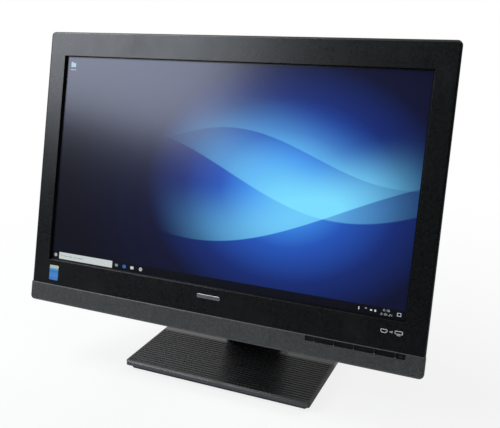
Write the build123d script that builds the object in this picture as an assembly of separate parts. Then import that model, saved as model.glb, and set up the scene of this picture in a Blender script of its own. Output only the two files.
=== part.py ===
from build123d import *
import math
import os

# All-in-one desktop computer on a slab stand. Millimetres.
# Row frame: +X to the user's right, +Y away from the user, +Z up, floor at Z = 0,
# origin under the middle of the whole machine's outline.
# Head frame: the same axes before the head leans back, origin at the middle of the picture, on the glass.

# ---- picture and display module
picture_width = 509.2
picture_height = 286.4
picture_border = 2.2
glass_margin = 9.0
glass_thickness = 1.8
light_guide_thickness = 4.2
light_guide_inset = 3.0
tray_sheet = 1.0
tray_clearance = 0.3
chassis_sheet = 1.2
led_strip_height = 1.2
led_length = 5.0
led_width = 2.8
led_half_count = 20

# ---- head outline
side_border = 29.4
top_border = 35.8
bottom_border = 63.8
head_corner = 6.0
head_lean = 14.6
glass_recess = 4.5
side_depth = 31.5
head_depth = 62.0
front_round = 3.0
side_draft = 4.2

# ---- mouldings, and fits that many pieces share
wall = 2.4
skin = 2.6
window_lip = 2.0
part_gap = 0.2
run_gap = 0.05
past = 1.0  # how far a cut runs past the face that it opens
pillar_radius = 4.2
pillar_margin = 1.0
pillar_floor = 1.0
low_pillar_rise = 5.0
screw_radius = 1.4
screw_head_radius = 2.7
screw_head_height = 1.8
screw_seat_height = 6.0
screw_tip_gap = 1.0
edge_chamfer = 0.8

# ---- chin bar and front keys
chin_height = 26.6
chin_proud = 1.5
chin_seat_depth = 3.5
chin_ridge = 1.3
key_row_inset = 22.9
end_key_length = 11.0
long_key_length = 23.4
long_key_count = 4
key_post = 1.3
key_drop = 1.1
key_height = 6.2
key_recess = 0.9
key_round = 0.3
key_travel = 0.7
key_switch_length = 5.0
key_switch_height = 1.8
key_switch_drop = 1.0
key_board_height = 12.0
key_board_drop = 4.0
key_board_margin = 3.0
key_post_radius = 2.0
board_thickness = 1.6

# ---- rear cover
rear_side_run = 59.0
rear_top_run = 67.0
rear_bottom_run = 57.0
rear_corner = 14.0
bay_half_width = 125.0
bay_roof_drop = 4.0
bay_sill = 9.0
bay_back_gap = 3.4
vent_width = 3.2
vent_pitch = 9.0
vent_length = 24.0
vent_half_count = 19
vent_field_length = 72.0
vent_field_inset = 75.0
vent_field_half_count = 6
door_width = 120.0
door_height = 124.0
door_sheet = 1.2
door_ledge = 4.0
door_corner = 6.0
door_margin = 13.0
door_screw_drop = 8.0
door_boss_width = 14.0
door_boss_depth = 4.0
lock_slot_width = 7.0
lock_slot_height = 3.0
lock_slot_inset = 22.0
lock_plate_width = 22.0
lock_plate_height = 14.0
lock_plate_sheet = 1.2

# ---- board and what it carries
standoff_height = 6.0
standoff_radius = 3.0
board_side_gap = 11.0
board_roof_gap = 1.2
board_hole_inset = 6.0
board_hole_rise = 8.0
cpu_x = -35.0
cpu_size = 40.0
cpu_height = 3.8
cooler_size = 56.0
cooler_height = 8.0
cooler_ear_radius = 4.0
cooler_ear_height = 2.0
cooler_post_radius = 2.5
pipe_radius = 3.0
pipe_spacing = 13.0
pipe_bend = 12.0
pipe_side_gap = 6.0
module_length = 68.0
module_height = 30.0
module_sheet = 1.2
module_rise = 1.2
module_pitch = 36.0
module_drop = 38.0
module_slot_margin = 3.0
module_slot_width = 4.0
module_slot_height = 3.4
module_board_inset = 64.0
chip_width = 11.0
chip_length = 14.0
chip_pitch = 17.0
chip_thickness = 1.4
card_width = 22.0
card_length = 30.0
card_sheet = 0.8
card_rise = 1.0
card_can_inset = 2.0
card_can_height = 1.4
card_slot_width = 5.0
card_slot_height = 2.2
card_drop = 50.0
card_board_inset = 26.0
cell_radius = 10.0
cell_thickness = 3.2
cell_card_gap = 17.0
cell_drop = 22.0
chipset_size = 30.0
chipset_height = 2.0
chipset_x = -95.0
chipset_drop = 38.0
coil_size = 8.0
coil_height = 4.0
coil_pitch = 11.0
coil_count = 6
coil_drop = 36.0
capacitor_radius = 3.0
capacitor_height = 9.0
capacitor_pitch = 9.0
capacitor_count = 5
capacitor_x = 96.0

# ---- blower and fins
blower_width = 80.0
blower_height = 76.0
blower_depth = 18.0
blower_skin = 1.4
blower_board_gap = 12.0
blower_post_radius = 3.0
blower_post_inset = 4.0
scroll_gap = 4.0
impeller_radius = 31.0
impeller_clearance = 1.5
impeller_disc = 1.0
hub_radius = 13.0
blade_count = 21
blade_sheet = 1.0
shaft_radius = 1.5
fin_sheet = 0.8
fin_pitch = 3.0
fin_count = 24
fin_height = 20.0
fin_pipe_inset = 5.0
fin_gap = 1.0
fin_roof_gap = 35.8

# ---- drives
disk_width = 101.6
disk_length = 147.0
disk_depth = 26.1
disk_corner = 3.0
disk_rise = 70.0
disk_side_gap = 26.8
disk_bracket_gap = 12.0
disk_label_recess = 0.8
disk_label_margin = 8.0
disk_label_shift = 8.0
caddy_sheet = 1.5
caddy_lip = 8.0
caddy_window = (60.0, 50.0)
caddy_window_shift = 40.0
window_corner = 8.0
optical_length = 127.0
optical_width = 128.0
optical_depth = 9.5
optical_sheet = 0.7
optical_z = 24.0
optical_rise = 6.5
runner_depth = 2.0
runner_width = 1.1
tray_drop = 0.8
tray_roof_gap = 1.2
tray_side_gap = 0.8
tray_end_gap = 2.0
tray_well = 2.0
disc_radius = 60.6
disc_clamp_radius = 7.4
shelf_window = (80.0, 40.0)
shelf_window_shift = 30.0
shelf_inset = 8.0
button_drop = 40.0
button_width = 3.0
button_length = 9.0
button_travel = 0.8

# ---- sockets
usb_width = 13.2
usb_height = 7.0
usb_depth = 14.0
usb_wall = 0.5
tongue_thickness = 1.9
tongue_margin = 1.5
tongue_set_back = 1.5
socket_back = 2.0
lan_width = 16.0
lan_height = 13.4
lan_depth = 21.0
lan_wall = 1.4
lan_mouth = 11.8
lan_mouth_height = 9.2
lan_mouth_depth = 13.0
video_width = 15.6
video_height = 6.4
inlet_width = 12.0
inlet_height = 11.0
inlet_depth = 14.0
inlet_bore = 3.6
inlet_back = 4.0
inlet_pin_radius = 0.9
jack_size = 7.0
jack_bore = 1.8
jack_back = 3.0
side_jack_rise = 104.0
side_jack_gap = 17.0
side_usb_pitch = 20.0
side_board_width = 27.0
side_board_margin = 3.4
side_board_post_radius = 2.5
side_board_post_inset = 5.0

# ---- speakers
speaker_width = 72.0
speaker_height = 23.0
speaker_depth = 18.0
speaker_gap = 1.0
speaker_x = 190.0
speaker_round = 2.5
cone_radius = 8.0
cone_depth = 3.0
grille_pitch = 5.0
grille_half_count = 6
grille_slot_width = 2.0
grille_slot_length = 12.0

# ---- stand bracket, hinge and neck
bracket_sheet = 2.0
bracket_margin = 9.0
bracket_flange = 8.0
bracket_boss_radius = 4.5
bracket_boss_height = 3.0
bracket_window = (140.0, 60.0)
bracket_window_corner = 10.0
vesa_spacing = 100.0
hinge_plate_margin = 8.0
hinge_plate_thickness = 3.0
hinge_plate_corner = 8.0
hinge_stand_off = 18.0
hinge_below_picture = 45.0
stand_screw_radius = 1.95
stand_screw_head = 4.0
stand_screw_head_height = 2.4
neck_screw_head = 3.5
neck_screw_head_height = 2.0
neck_screw_grip = 3.0
screw_root = 0.5
axle_radius = 5.0
knuckle_radius = 13.0
knuckle_half_length = 30.0
washer_thickness = 4.0
washer_radius = 11.0
ear_thickness = 5.0
ear_radius = 14.0
ear_root_half_height = 20.0
nut_thickness = 5.0
nut_radius = 8.0
neck_width = 92.0
neck_foot_thickness = 50.0
neck_top_thickness = 34.0
neck_top_drop = 8.0
neck_corner = 10.0
neck_wall = 2.4
spine_width = 56.0
spine_thickness = 6.0
spine_foot_width = 62.0
spine_foot_depth = 36.0
spine_foot_sheet = 4.0
neck_screw_spread = (22.0, 12.0)
shroud_radius = 18.2
shroud_wall = 2.2
shroud_low_angle = -84.0
shroud_high_angle = 30.0
shroud_skirt_lap = 4.0

# ---- base
base_width = 280.0
base_depth = 214.0
base_top = 15.0
base_corner = 3.0
base_lip_run = 3.0
base_lip_drop = 2.2
base_skin = 2.5
base_wall = 7.4
base_plate_inset = 6.0
base_plate_bottom = 1.2
base_plate_top = 8.0
base_sheet = 3.0
base_rim = 2.5
base_stiffener = 1.6
base_stiffener_half_count = 3
base_stiffener_inset = 8.0
base_stiffener_gap = 6.0
base_screw_blind = 0.5
rib_pitch = 5.5
rib_groove = 2.4
rib_depth = 0.7
rib_count = 18
rib_start = 5.0
foot_radius = 9.0
foot_recess = 0.4
foot_round = 0.5
foot_inset = 24.0
screen_above_base = 280.3
screen_behind_lip = 34.0
swivel_behind_lip = 161.0
disc_boss_radius = 38.0
disc_flange_radius = 42.0
disc_proud = 1.0
disc_roof = 1.5
slip_ring_thickness = 0.6
slip_ring_width = 12.0
slip_ring_inset = 2.0
pivot_radius = 8.0
pivot_drop = 2.0

# ---- levels in the head frame, worked out from the sizes above
head_width = picture_width + 2 * side_border
head_above_picture = picture_height / 2 + top_border
head_below_picture = picture_height / 2 + bottom_border
half_head = head_width / 2
head_middle = (head_above_picture - head_below_picture) / 2
head_height = head_above_picture + head_below_picture
bezel_face = -glass_recess
seam = bezel_face + side_depth
rear_face = bezel_face + head_depth
rear_inside = rear_face - wall
window_half_width = picture_width / 2 + picture_border
window_half_height = picture_height / 2 + picture_border
glass_half_width = picture_width / 2 + glass_margin
glass_half_height = picture_height / 2 + glass_margin
guide_half_width = glass_half_width - light_guide_inset
guide_half_height = glass_half_height - light_guide_inset
guide_back = glass_thickness + light_guide_thickness
tray_back = guide_back + tray_sheet
plate_back = tray_back + chassis_sheet
board_front = plate_back + standoff_height
board_back = board_front + board_thickness
chin_top = -head_below_picture + chin_height
chin_seat = bezel_face + chin_seat_depth
chin_face = bezel_face - chin_proud
inner_half_width = half_head - side_draft - wall
inner_top = head_above_picture - side_draft - wall
inner_bottom = -head_below_picture + side_draft + wall
rear_half_width = half_head - rear_side_run
rear_top = head_above_picture - rear_top_run
rear_bottom = -head_below_picture + rear_bottom_run
hump_middle = (rear_top + rear_bottom) / 2
bay_roof = rear_bottom + bay_roof_drop
bay_floor = -head_below_picture + bay_sill
bay_back = plate_back + bay_back_gap + wall

# ---- places of what the head holds, worked out from the shell inward
disk_x = inner_half_width - disk_side_gap - disk_width
bracket_half_width = disk_x - disk_bracket_gap
board_half_width = bracket_half_width - board_side_gap
board_bottom = bay_roof + wall + board_roof_gap
fin_low = inner_top - fin_roof_gap - fin_height
blower_high = fin_low - fin_gap
blower_low = blower_high - blower_height
board_top = blower_low - blower_board_gap
cpu_z = (board_bottom + board_top) / 2
memory_x = board_half_width - module_board_inset
wireless_x = -board_half_width + card_board_inset
wireless_z = board_top - card_drop
cell_x = wireless_x + card_width / 2 + cell_card_gap + cell_radius
door_x = rear_half_width - door_width / 2 - door_margin
vent_field_x = -rear_half_width + vent_field_inset


def span(middle, size):
    """Low and high end of a length about its middle."""
    return (middle - size / 2, middle + size / 2)


def block(x, y, z):
    """Box between a low and a high value on each axis."""
    spans = (x, y, z)
    middle = [(low + high) / 2 for low, high in spans]
    return Pos(*middle) * Box(*[high - low for low, high in spans])


def rod_x(radius, x, y, z):
    return Pos((x[0] + x[1]) / 2, y, z) * Rot(0, 90, 0) * Cylinder(radius, x[1] - x[0])


def rod_y(radius, x, y, z):
    return Pos(x, (y[0] + y[1]) / 2, z) * Rot(90, 0, 0) * Cylinder(radius, y[1] - y[0])


def rod_z(radius, x, y, z):
    return Pos(x, y, (z[0] + z[1]) / 2) * Cylinder(radius, z[1] - z[0])


def panel(width, height, corner, y, x=0.0, z=0.0):
    """Round-cornered plate that faces the user, between two depths."""
    sheet = extrude(RectangleRounded(width, height, corner), y[1] - y[0])
    return Pos(x, y[1], z) * Rot(90, 0, 0) * sheet


def group(solids):
    """Separate solids that share one node."""
    return Compound(children=[solid for item in solids for solid in item.solids()])


def corners(half_x, half_z, x=0.0, z=0.0):
    """The four corners of a rectangle about a middle."""
    return [(x + i * half_x, z + j * half_z) for i in (-1, 1) for j in (-1, 1)]


def draft_at(y):
    """How far the head's sides have closed in at one depth."""
    return side_draft * (y - bezel_face) / side_depth


def head_form(inset, y):
    """The head's drafted outline between two depths, inset by a wall or by nothing."""
    sections = []
    for depth in y:
        shrink = 2 * (inset + draft_at(depth))
        sheet = RectangleRounded(head_width - shrink, head_height - shrink, head_corner - inset)
        sections.append(Pos(0, depth, head_middle) * Rot(90, 0, 0) * sheet)
    return loft(sections, ruled=True)


def front_edges(shape):
    return shape.edges().group_by(Axis.Y)[0]


# ---- places
def lean_point(y, z):
    """Head-frame depth and height turned by the head's lean."""
    angle = math.radians(head_lean)
    return (y * math.cos(angle) + z * math.sin(angle), z * math.cos(angle) - y * math.sin(angle))


chin_nose = lean_point(chin_face + front_round, -head_below_picture + front_round)[0] - front_round
base_front = -(screen_behind_lip + chin_nose + base_depth) / 2
base_rear = base_front + base_depth
base_middle = (base_front + base_rear) / 2
screen_y = base_front + screen_behind_lip
screen_z = base_top + screen_above_base
swivel_y = base_front + swivel_behind_lip
hinge_back = rear_face + hinge_stand_off
hinge_offset = lean_point(hinge_back, -hinge_below_picture)
axis_y = screen_y + hinge_offset[0]
axis_z = screen_z + hinge_offset[1]
disc_top = base_top + disc_proud
neck_length = math.hypot(swivel_y - axis_y, axis_z - disc_top)
neck_angle = math.degrees(math.atan2(swivel_y - axis_y, axis_z - disc_top))
head_place = Pos(0, screen_y, screen_z) * Rot(-head_lean, 0, 0)
neck_place = Pos(0, axis_y, axis_z) * Rot(neck_angle, 0, 0)

# ---- shared layouts
side_pillar = inner_half_width - pillar_radius - pillar_margin
top_pillar = inner_top - pillar_radius - pillar_margin
low_pillar = chin_top + pillar_radius + low_pillar_rise
pillar_spots = [(x * side_pillar, z) for x in (-1, 1) for z in (top_pillar, low_pillar)]
pillar_spots += [(x * side_pillar / 3, top_pillar) for x in (-1, 1)]
pillar_spots += [(side_pillar, -glass_half_height / 2), (-side_pillar, -glass_half_height * 0.9)]
screw_seat = plate_back + screw_seat_height
vesa_spots = corners(vesa_spacing / 2, vesa_spacing / 2, z=-hinge_below_picture)
board_holes = [(x * (board_half_width - board_hole_inset), z) for x in (-1, 1)
               for z in (board_bottom + board_hole_rise, board_top - board_hole_inset)]
optical_front = plate_back + optical_rise
optical_back = optical_front + optical_depth
socket_x = {"video": -62.0, "lan": -34.0, "usb_1": -8.0, "usb_2": 12.0, "power": 62.0}
side_jack_z = -head_below_picture + side_jack_rise
side_usb_low = side_jack_z + side_jack_gap
side_usb_z = (side_usb_low + side_usb_pitch, side_usb_low)
side_board_front = plate_back + standoff_height
side_socket_front = side_board_front + board_thickness
side_socket_face = half_head - draft_at(side_socket_front + usb_height)
side_socket_x = (-side_socket_face, -side_socket_face + usb_depth)


def key_spans():
    """Left and right end of each front key."""
    lengths = [end_key_length] + [long_key_length] * long_key_count + [end_key_length]
    left = half_head - key_row_inset - sum(lengths) - key_post * (len(lengths) - 1)
    spans = []
    for length in lengths:
        spans.append((left, left + length))
        left += length + key_post
    return spans


key_top = chin_top - key_drop
key_z = (key_top - key_height, key_top)
key_rear = chin_seat + skin + part_gap
key_board_front = key_rear + key_travel + key_switch_height
key_board_z = key_z[0] - key_board_drop
key_post_spots = (key_spans()[0][0] - key_post_radius, key_spans()[-1][1] + key_post_radius)
speaker_front = key_board_front + board_thickness + speaker_gap
speaker_y = (speaker_front, speaker_front + speaker_depth)


# ---- head: front
def front_bezel():
    outline = head_form(0, (bezel_face, seam))
    outer = fillet(front_edges(outline), front_round)
    shell = outer - head_form(wall, (bezel_face + skin, seam))
    window_x = (-window_half_width, window_half_width)
    window_z = (-window_half_height, window_half_height)
    lip_x = (-window_half_width - window_lip, window_half_width + window_lip)
    lip_z = (-window_half_height - window_lip, window_half_height + window_lip)
    shell += block(lip_x, (bezel_face + skin / 2, 0), lip_z)
    shell -= block(window_x, (bezel_face - past, past), window_z)
    shell = chin_ledge(shell, outline)
    for x, z in pillar_spots:
        shell += rod_y(pillar_radius, x, (bezel_face + skin / 2, tray_back), z)
        shell -= rod_y(screw_radius, x, (bezel_face + skin + pillar_floor, tray_back), z)
    for x in key_post_spots:
        shell += rod_y(key_post_radius, x, (chin_seat + skin / 2, key_board_front), key_board_z)
    return shell - speaker_grilles() - side_openings()


def chin_ledge(shell, outline):
    """The bezel with the set-back face that carries the chin bar, pierced for the keys."""
    below_chin = (-head_below_picture - past, chin_top)
    shell -= block((-half_head - past, half_head + past), (bezel_face - past, chin_seat), below_chin)
    seat = block((-half_head, half_head), (chin_seat, chin_seat + skin), (-head_below_picture, chin_top))
    step_x = (-half_head + wall, half_head - wall)
    step = block(step_x, (bezel_face + skin / 2, chin_seat + skin), (chin_top, chin_top + wall))
    shell += (seat + step) & outline
    for low, high in key_spans():
        shell -= block((low, high), (chin_seat - past, chin_seat + skin + past), key_z)
    return shell


def speaker_grilles():
    """Slots in the underside, in front of each speaker's cone."""
    slots = []
    slot_y = span(sum(speaker_y) / 2, grille_slot_length)
    slot_z = (-head_below_picture - past, inner_bottom + past)
    for side in (-1, 1):
        for step in range(-grille_half_count, grille_half_count + 1):
            x = side * speaker_x + step * grille_pitch
            slots.append(block(span(x, grille_slot_width), slot_y, slot_z))
    return group(slots)


def side_openings():
    """Windows in the left side wall for the disc tray, the sockets and the jack."""
    through = (-half_head - past, -inner_half_width + past)
    slot_y = (optical_front - part_gap, optical_back + part_gap)
    openings = [block(through, slot_y, span(optical_z, optical_width + 2 * part_gap))]
    for z in side_usb_z:
        openings.append(block(through, side_socket_y(usb_height), span(z, usb_width + 2 * part_gap)))
    openings.append(block(through, side_socket_y(jack_size), span(side_jack_z, jack_size + 2 * part_gap)))
    return group(openings)


def side_socket_y(height):
    """Depth span of a side socket's window in the wall."""
    return (side_socket_front - part_gap, side_socket_front + height + part_gap)


def chin_bar():
    outline = panel(head_width, head_height, head_corner, (chin_face, chin_seat), z=head_middle)
    rounded = fillet(front_edges(outline), front_round)
    chin_z = (-head_below_picture - past, chin_top)
    kept = block((-half_head, half_head), (chin_face - past, chin_seat), chin_z)
    bar = rounded & kept
    ridge = bar.edges().filter_by(Axis.X).group_by(Axis.Y)[0].sort_by(Axis.Z)[-1]
    bar = fillet(ridge, chin_ridge)
    for low, high in key_spans():
        bar -= block((low, high), (chin_face - past, chin_seat + past), key_z)
    return bar


def front_key(left, right):
    x = (left + part_gap, right - part_gap)
    z = (key_z[0] + part_gap, key_z[1] - part_gap)
    cap = block(x, (chin_face + key_recess, key_rear), z)
    return fillet(front_edges(cap), key_round)


def key_board():
    x = (key_post_spots[0] - key_board_margin, key_post_spots[1] + key_board_margin)
    y = (key_board_front, key_board_front + board_thickness)
    board = block(x, y, span(key_board_z, key_board_height))
    switch_y = (key_rear + key_travel, key_board_front)
    switch_z = (key_z[0] - key_switch_drop, key_z[1] - part_gap)
    for low, high in key_spans():
        board += block(span((low + high) / 2, key_switch_length), switch_y, switch_z)
    return board


# ---- head: display
def lcd_glass():
    x = (-glass_half_width, glass_half_width)
    return block(x, (0, glass_thickness), (-glass_half_height, glass_half_height))


def light_guide():
    x = (-guide_half_width, guide_half_width)
    return block(x, (glass_thickness, guide_back), (-guide_half_height, guide_half_height))


def led_bar():
    low = -glass_half_height - tray_clearance
    strip_z = (low, low + led_strip_height)
    strip = block((-guide_half_width, guide_half_width), (glass_thickness, guide_back), strip_z)
    led_y = span((glass_thickness + guide_back) / 2, led_width)
    led_z = (low + led_strip_height / 2, -guide_half_height)
    for step in range(-led_half_count, led_half_count + 1):
        x = step * guide_half_width / (led_half_count + 1)
        strip += block(span(x, led_length), led_y, led_z)
    return strip


def backlight_tray():
    half_width = glass_half_width + tray_clearance + tray_sheet
    half_height = glass_half_height + tray_clearance + tray_sheet
    pan = block((-half_width, half_width), (tray_clearance, tray_back), (-half_height, half_height))
    hollow_x = (-half_width + tray_sheet, half_width - tray_sheet)
    hollow_z = (-half_height + tray_sheet, half_height - tray_sheet)
    return pan - block(hollow_x, (0, guide_back), hollow_z)


def chassis_plate():
    high = inner_top - 2 * part_gap
    low = low_pillar - pillar_radius - pillar_margin
    width = 2 * (inner_half_width - 2 * part_gap)
    plate = panel(width, high - low, head_corner, (tray_back, plate_back), z=(high + low) / 2)
    for x, z in pillar_spots:
        plate -= rod_y(screw_radius + part_gap, x, (tray_back - past, plate_back + past), z)
    for x, z in board_holes:
        plate += rod_y(standoff_radius, x, (plate_back - chassis_sheet / 3, board_front), z)
    return plate


# ---- head: computer
def motherboard():
    board = block((-board_half_width, board_half_width), (board_front, board_back), (board_bottom, board_top))
    board += block(span(cpu_x, cpu_size), (board_back, board_back + cpu_height), span(cpu_z, cpu_size))
    slot_x = span(memory_x, module_length + 2 * module_slot_margin)
    for row in (0, 1):
        z = memory_z(row)
        board += block(slot_x, (board_back, board_back + module_slot_height), (z - module_slot_width, z))
    card_slot_z = (wireless_z - card_slot_width, wireless_z)
    board += block(span(wireless_x, card_width), (board_back, board_back + card_slot_height), card_slot_z)
    chipset_z = span(cpu_z - chipset_drop, chipset_size)
    board += block(span(chipset_x, chipset_size), (board_back, board_back + chipset_height), chipset_z)
    for x in row_about(cpu_x, coil_count, coil_pitch):
        coil_z = span(cpu_z - coil_drop, coil_size)
        board += block(span(x, coil_size), (board_back, board_back + coil_height), coil_z)
    for z in row_about(cpu_z - chipset_drop / 2, capacitor_count, capacitor_pitch):
        board += rod_y(capacitor_radius, capacitor_x, (board_back, board_back + capacitor_height), z)
    for x, z in board_holes:
        board -= rod_y(screw_radius + part_gap, x, (board_front - past, board_back + past), z)
    return board


def row_about(middle, count, pitch):
    """Evenly spaced places about a middle."""
    return [middle + (step - (count - 1) / 2) * pitch for step in range(count)]


def memory_z(row):
    """Slot side of one memory module."""
    return board_top - module_drop - row * module_pitch


def memory_modules():
    modules = []
    sheet_y = (board_back + module_rise, board_back + module_rise + module_sheet)
    chip_y = (sheet_y[1], sheet_y[1] + chip_thickness)
    for row in (0, 1):
        z = memory_z(row)
        module = block(span(memory_x, module_length), sheet_y, (z, z + module_height))
        for x in row_about(memory_x, 4, chip_pitch):
            module += block(span(x, chip_width), chip_y, span(z + module_height / 2, chip_length))
        modules.append(module)
    return group(modules)


def wireless_card():
    sheet_y = (board_back + card_rise, board_back + card_rise + card_sheet)
    card = block(span(wireless_x, card_width), sheet_y, (wireless_z, wireless_z + card_length))
    can_z = (wireless_z + card_slot_width / 2, wireless_z + card_length - card_slot_width)
    can_x = span(wireless_x, card_width - 2 * card_can_inset)
    return card + block(can_x, (sheet_y[1], sheet_y[1] + card_can_height), can_z)


def coin_cell():
    return rod_y(cell_radius, cell_x, (board_back, board_back + cell_thickness), board_top - cell_drop)


cooler_y = (board_back + cpu_height, board_back + cpu_height + cooler_height)
pipe_y = (cooler_y[0] + cooler_y[1]) / 2
blower_x = cpu_x
blower_z = (blower_low + blower_high) / 2
blower_y = (pipe_y - blower_depth / 2, pipe_y + blower_depth / 2)
fin_z = (fin_low, fin_low + fin_height)
fin_width = (fin_count - 1) * fin_pitch + fin_sheet
pipe_turn_x = blower_x + blower_width / 2 + pipe_radius + pipe_side_gap


def pipe(order):
    """One heat pipe; the inner pipe has order 0, the outer has order 1."""
    low = cpu_z + (0.5 - order) * pipe_spacing
    high = fin_low + fin_pipe_inset + order * (fin_height - 2 * fin_pipe_inset)
    turn = pipe_turn_x + order * pipe_spacing
    corner_x = turn - pipe_bend
    route = rod_x(pipe_radius, (cpu_x - cooler_size / 2, corner_x), pipe_y, low)
    route += pipe_elbow(corner_x, low + pipe_bend, -90)
    route += rod_z(pipe_radius, turn, pipe_y, (low + pipe_bend, high - pipe_bend))
    route += pipe_elbow(corner_x, high - pipe_bend, 0)
    return route + rod_x(pipe_radius, (blower_x - fin_width / 2, corner_x), pipe_y, high)


def pipe_elbow(x, z, start_angle):
    quarter = Torus(pipe_bend, pipe_radius, major_angle=90, align=None)
    return Pos(x, pipe_y, z) * Rot(90, 0, 0) * Rot(0, 0, start_angle) * quarter


def cpu_cooler():
    body = block(span(cpu_x, cooler_size), cooler_y, span(cpu_z, cooler_size))
    for x, z in corners(cooler_size / 2, cooler_size / 2, cpu_x, cpu_z):
        body += rod_y(cooler_ear_radius, x, (cooler_y[0], cooler_y[0] + cooler_ear_height), z)
        body += rod_y(cooler_post_radius, x, (board_back, cooler_y[0] + cooler_ear_height), z)
    return body - pipe(0) - pipe(1)


def fin_stack():
    left = blower_x - fin_width / 2
    fins = block((left, left + fin_width), (blower_y[0], blower_y[0] + fin_sheet), fin_z)
    fins += block((left, left + fin_width), (blower_y[1] - fin_sheet, blower_y[1]), fin_z)
    for step in range(fin_count):
        x = left + step * fin_pitch
        fins += block((x, x + fin_sheet), blower_y, fin_z)
    return fins - pipe(0) - pipe(1)


def blower_housing():
    body = block(span(blower_x, blower_width), blower_y, (blower_low, blower_high))
    inside_y = (blower_y[0] + blower_skin, blower_y[1] - blower_skin)
    scroll_radius = impeller_radius + scroll_gap
    body -= rod_y(scroll_radius, blower_x, inside_y, blower_z)
    body -= block(span(blower_x, 1.7 * scroll_radius), inside_y, (blower_z, blower_high + past))
    body -= rod_y(0.62 * impeller_radius, blower_x, (inside_y[1] - past, blower_y[1] + past), blower_z)
    body -= rod_y(shaft_radius + run_gap, blower_x, (blower_y[0] - past, inside_y[0] + past), blower_z)
    post_half_width = blower_width / 2 - blower_post_inset
    post_half_height = blower_height / 2 - blower_post_inset
    for x, z in corners(post_half_width, post_half_height, blower_x, blower_z):
        body += rod_y(blower_post_radius, x, (plate_back, blower_y[0] + blower_skin), z)
    return body


def blower_impeller():
    low = blower_y[0] + blower_skin + impeller_clearance
    high = blower_y[1] - blower_skin - impeller_clearance
    wheel = rod_y(hub_radius, blower_x, (low, high), blower_z)
    wheel += rod_y(shaft_radius, blower_x, (blower_y[0] + part_gap, low + impeller_disc), blower_z)
    wheel += rod_y(impeller_radius, blower_x, (low, low + impeller_disc), blower_z)
    blade_x = (hub_radius - blade_sheet, impeller_radius - blade_sheet)
    blade = block(blade_x, (low, high), span(0, blade_sheet))
    for step in range(blade_count):
        wheel += Pos(blower_x, 0, blower_z) * Rot(0, step * 360 / blade_count, 0) * blade
    return wheel


disk_y = (plate_back + caddy_sheet, plate_back + caddy_sheet + disk_depth)
disk_z = span(cpu_z + disk_rise, disk_length)
disk_middle_x = disk_x + disk_width / 2
disk_middle_z = sum(disk_z) / 2


def hard_drive():
    drive = block((disk_x, disk_x + disk_width), disk_y, disk_z)
    drive = chamfer(drive.edges().filter_by(Axis.Y), disk_corner)
    label_width = disk_width - 2 * disk_label_margin
    label_height = disk_length - 2 * disk_label_margin - 3 * disk_label_shift
    label_y = (disk_y[1] - disk_label_recess, disk_y[1] + past)
    label_z = disk_middle_z + disk_label_shift
    return drive - panel(label_width, label_height, window_corner, label_y, disk_middle_x, label_z)


def drive_caddy():
    x = (disk_x - caddy_sheet, disk_x + disk_width + caddy_sheet)
    channel = block(x, (plate_back, disk_y[1] - caddy_lip), disk_z)
    channel -= block((disk_x, disk_x + disk_width), disk_y, (disk_z[0] - past, disk_z[1] + past))
    cut_y = (plate_back - past, disk_y[0] + past)
    for side in (-1, 1):
        z = disk_middle_z + side * caddy_window_shift
        channel -= panel(*caddy_window, window_corner, cut_y, disk_middle_x, z)
    return channel


optical_z_span = span(optical_z, optical_width)
optical_x = (-inner_half_width, -inner_half_width + optical_length)
tray_y = (optical_front + optical_sheet + tray_drop, optical_back - optical_sheet - tray_roof_gap)
tray_half_width = optical_width / 2 - optical_sheet - tray_side_gap
tray_face = half_head - draft_at(optical_back)
button_y = sum(tray_y) / 2
button_z = optical_z - button_drop


def optical_drive():
    case = block(optical_x, (optical_front, optical_back), optical_z_span)
    inside_z = span(optical_z, optical_width - 2 * optical_sheet)
    inside_x = (optical_x[0] - past, optical_x[1] - optical_sheet)
    case -= block(inside_x, (optical_front + optical_sheet, optical_back - optical_sheet), inside_z)
    for side in (-1, 1):
        edge = optical_z + side * (tray_half_width + run_gap)
        runner_z = sorted((edge, edge + side * runner_width))
        runner_x = (optical_x[0] + runner_depth, optical_x[1] - optical_sheet / 2)
        case += block(runner_x, (tray_y[0], tray_y[0] + runner_depth), runner_z)
    return case


def drive_bracket():
    x = (optical_x[0] + shelf_inset, optical_x[1])
    shelf = block(x, (optical_front - caddy_sheet, optical_front), optical_z_span)
    for z in (optical_z_span[0], optical_z_span[1] - caddy_sheet):
        shelf += block(x, (plate_back, optical_front), (z, z + caddy_sheet))
    cut_y = (optical_front - caddy_sheet - past, optical_front + past)
    for side in (-1, 1):
        z = optical_z + side * shelf_window_shift
        shelf -= panel(*shelf_window, window_corner, cut_y, sum(x) / 2, z)
    return shelf


def disc_tray():
    front_x = (-tray_face, -inner_half_width)
    front_y = (optical_front + part_gap, optical_back - part_gap)
    plate = block(front_x, front_y, span(optical_z, optical_width - 2 * part_gap))
    slide_x = (-inner_half_width, optical_x[1] - optical_sheet - tray_end_gap)
    plate += block(slide_x, tray_y, span(optical_z, 2 * tray_half_width))
    middle_x = sum(slide_x) / 2
    plate -= rod_y(disc_radius, middle_x, (tray_y[1] - tray_well, tray_y[1] + past), optical_z)
    plate += rod_y(disc_clamp_radius, middle_x, (tray_y[1] - tray_well - past, tray_y[1]), optical_z)
    recess_x = (-tray_face - past, -inner_half_width + 2 * button_travel)
    return plate - block(recess_x, span(button_y, button_width), span(button_z, button_length))


def eject_button():
    z = span(button_z, button_length - 2 * part_gap)
    return block((-tray_face, -inner_half_width), span(button_y, button_width - 2 * part_gap), z)


def speaker(side):
    x = side * speaker_x
    box = block(span(x, speaker_width), speaker_y, (inner_bottom, inner_bottom + speaker_height))
    box = fillet(box.edges().filter_by(Axis.Z), speaker_round)
    return box - rod_z(cone_radius, x, sum(speaker_y) / 2, (inner_bottom - past, inner_bottom + cone_depth))


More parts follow.
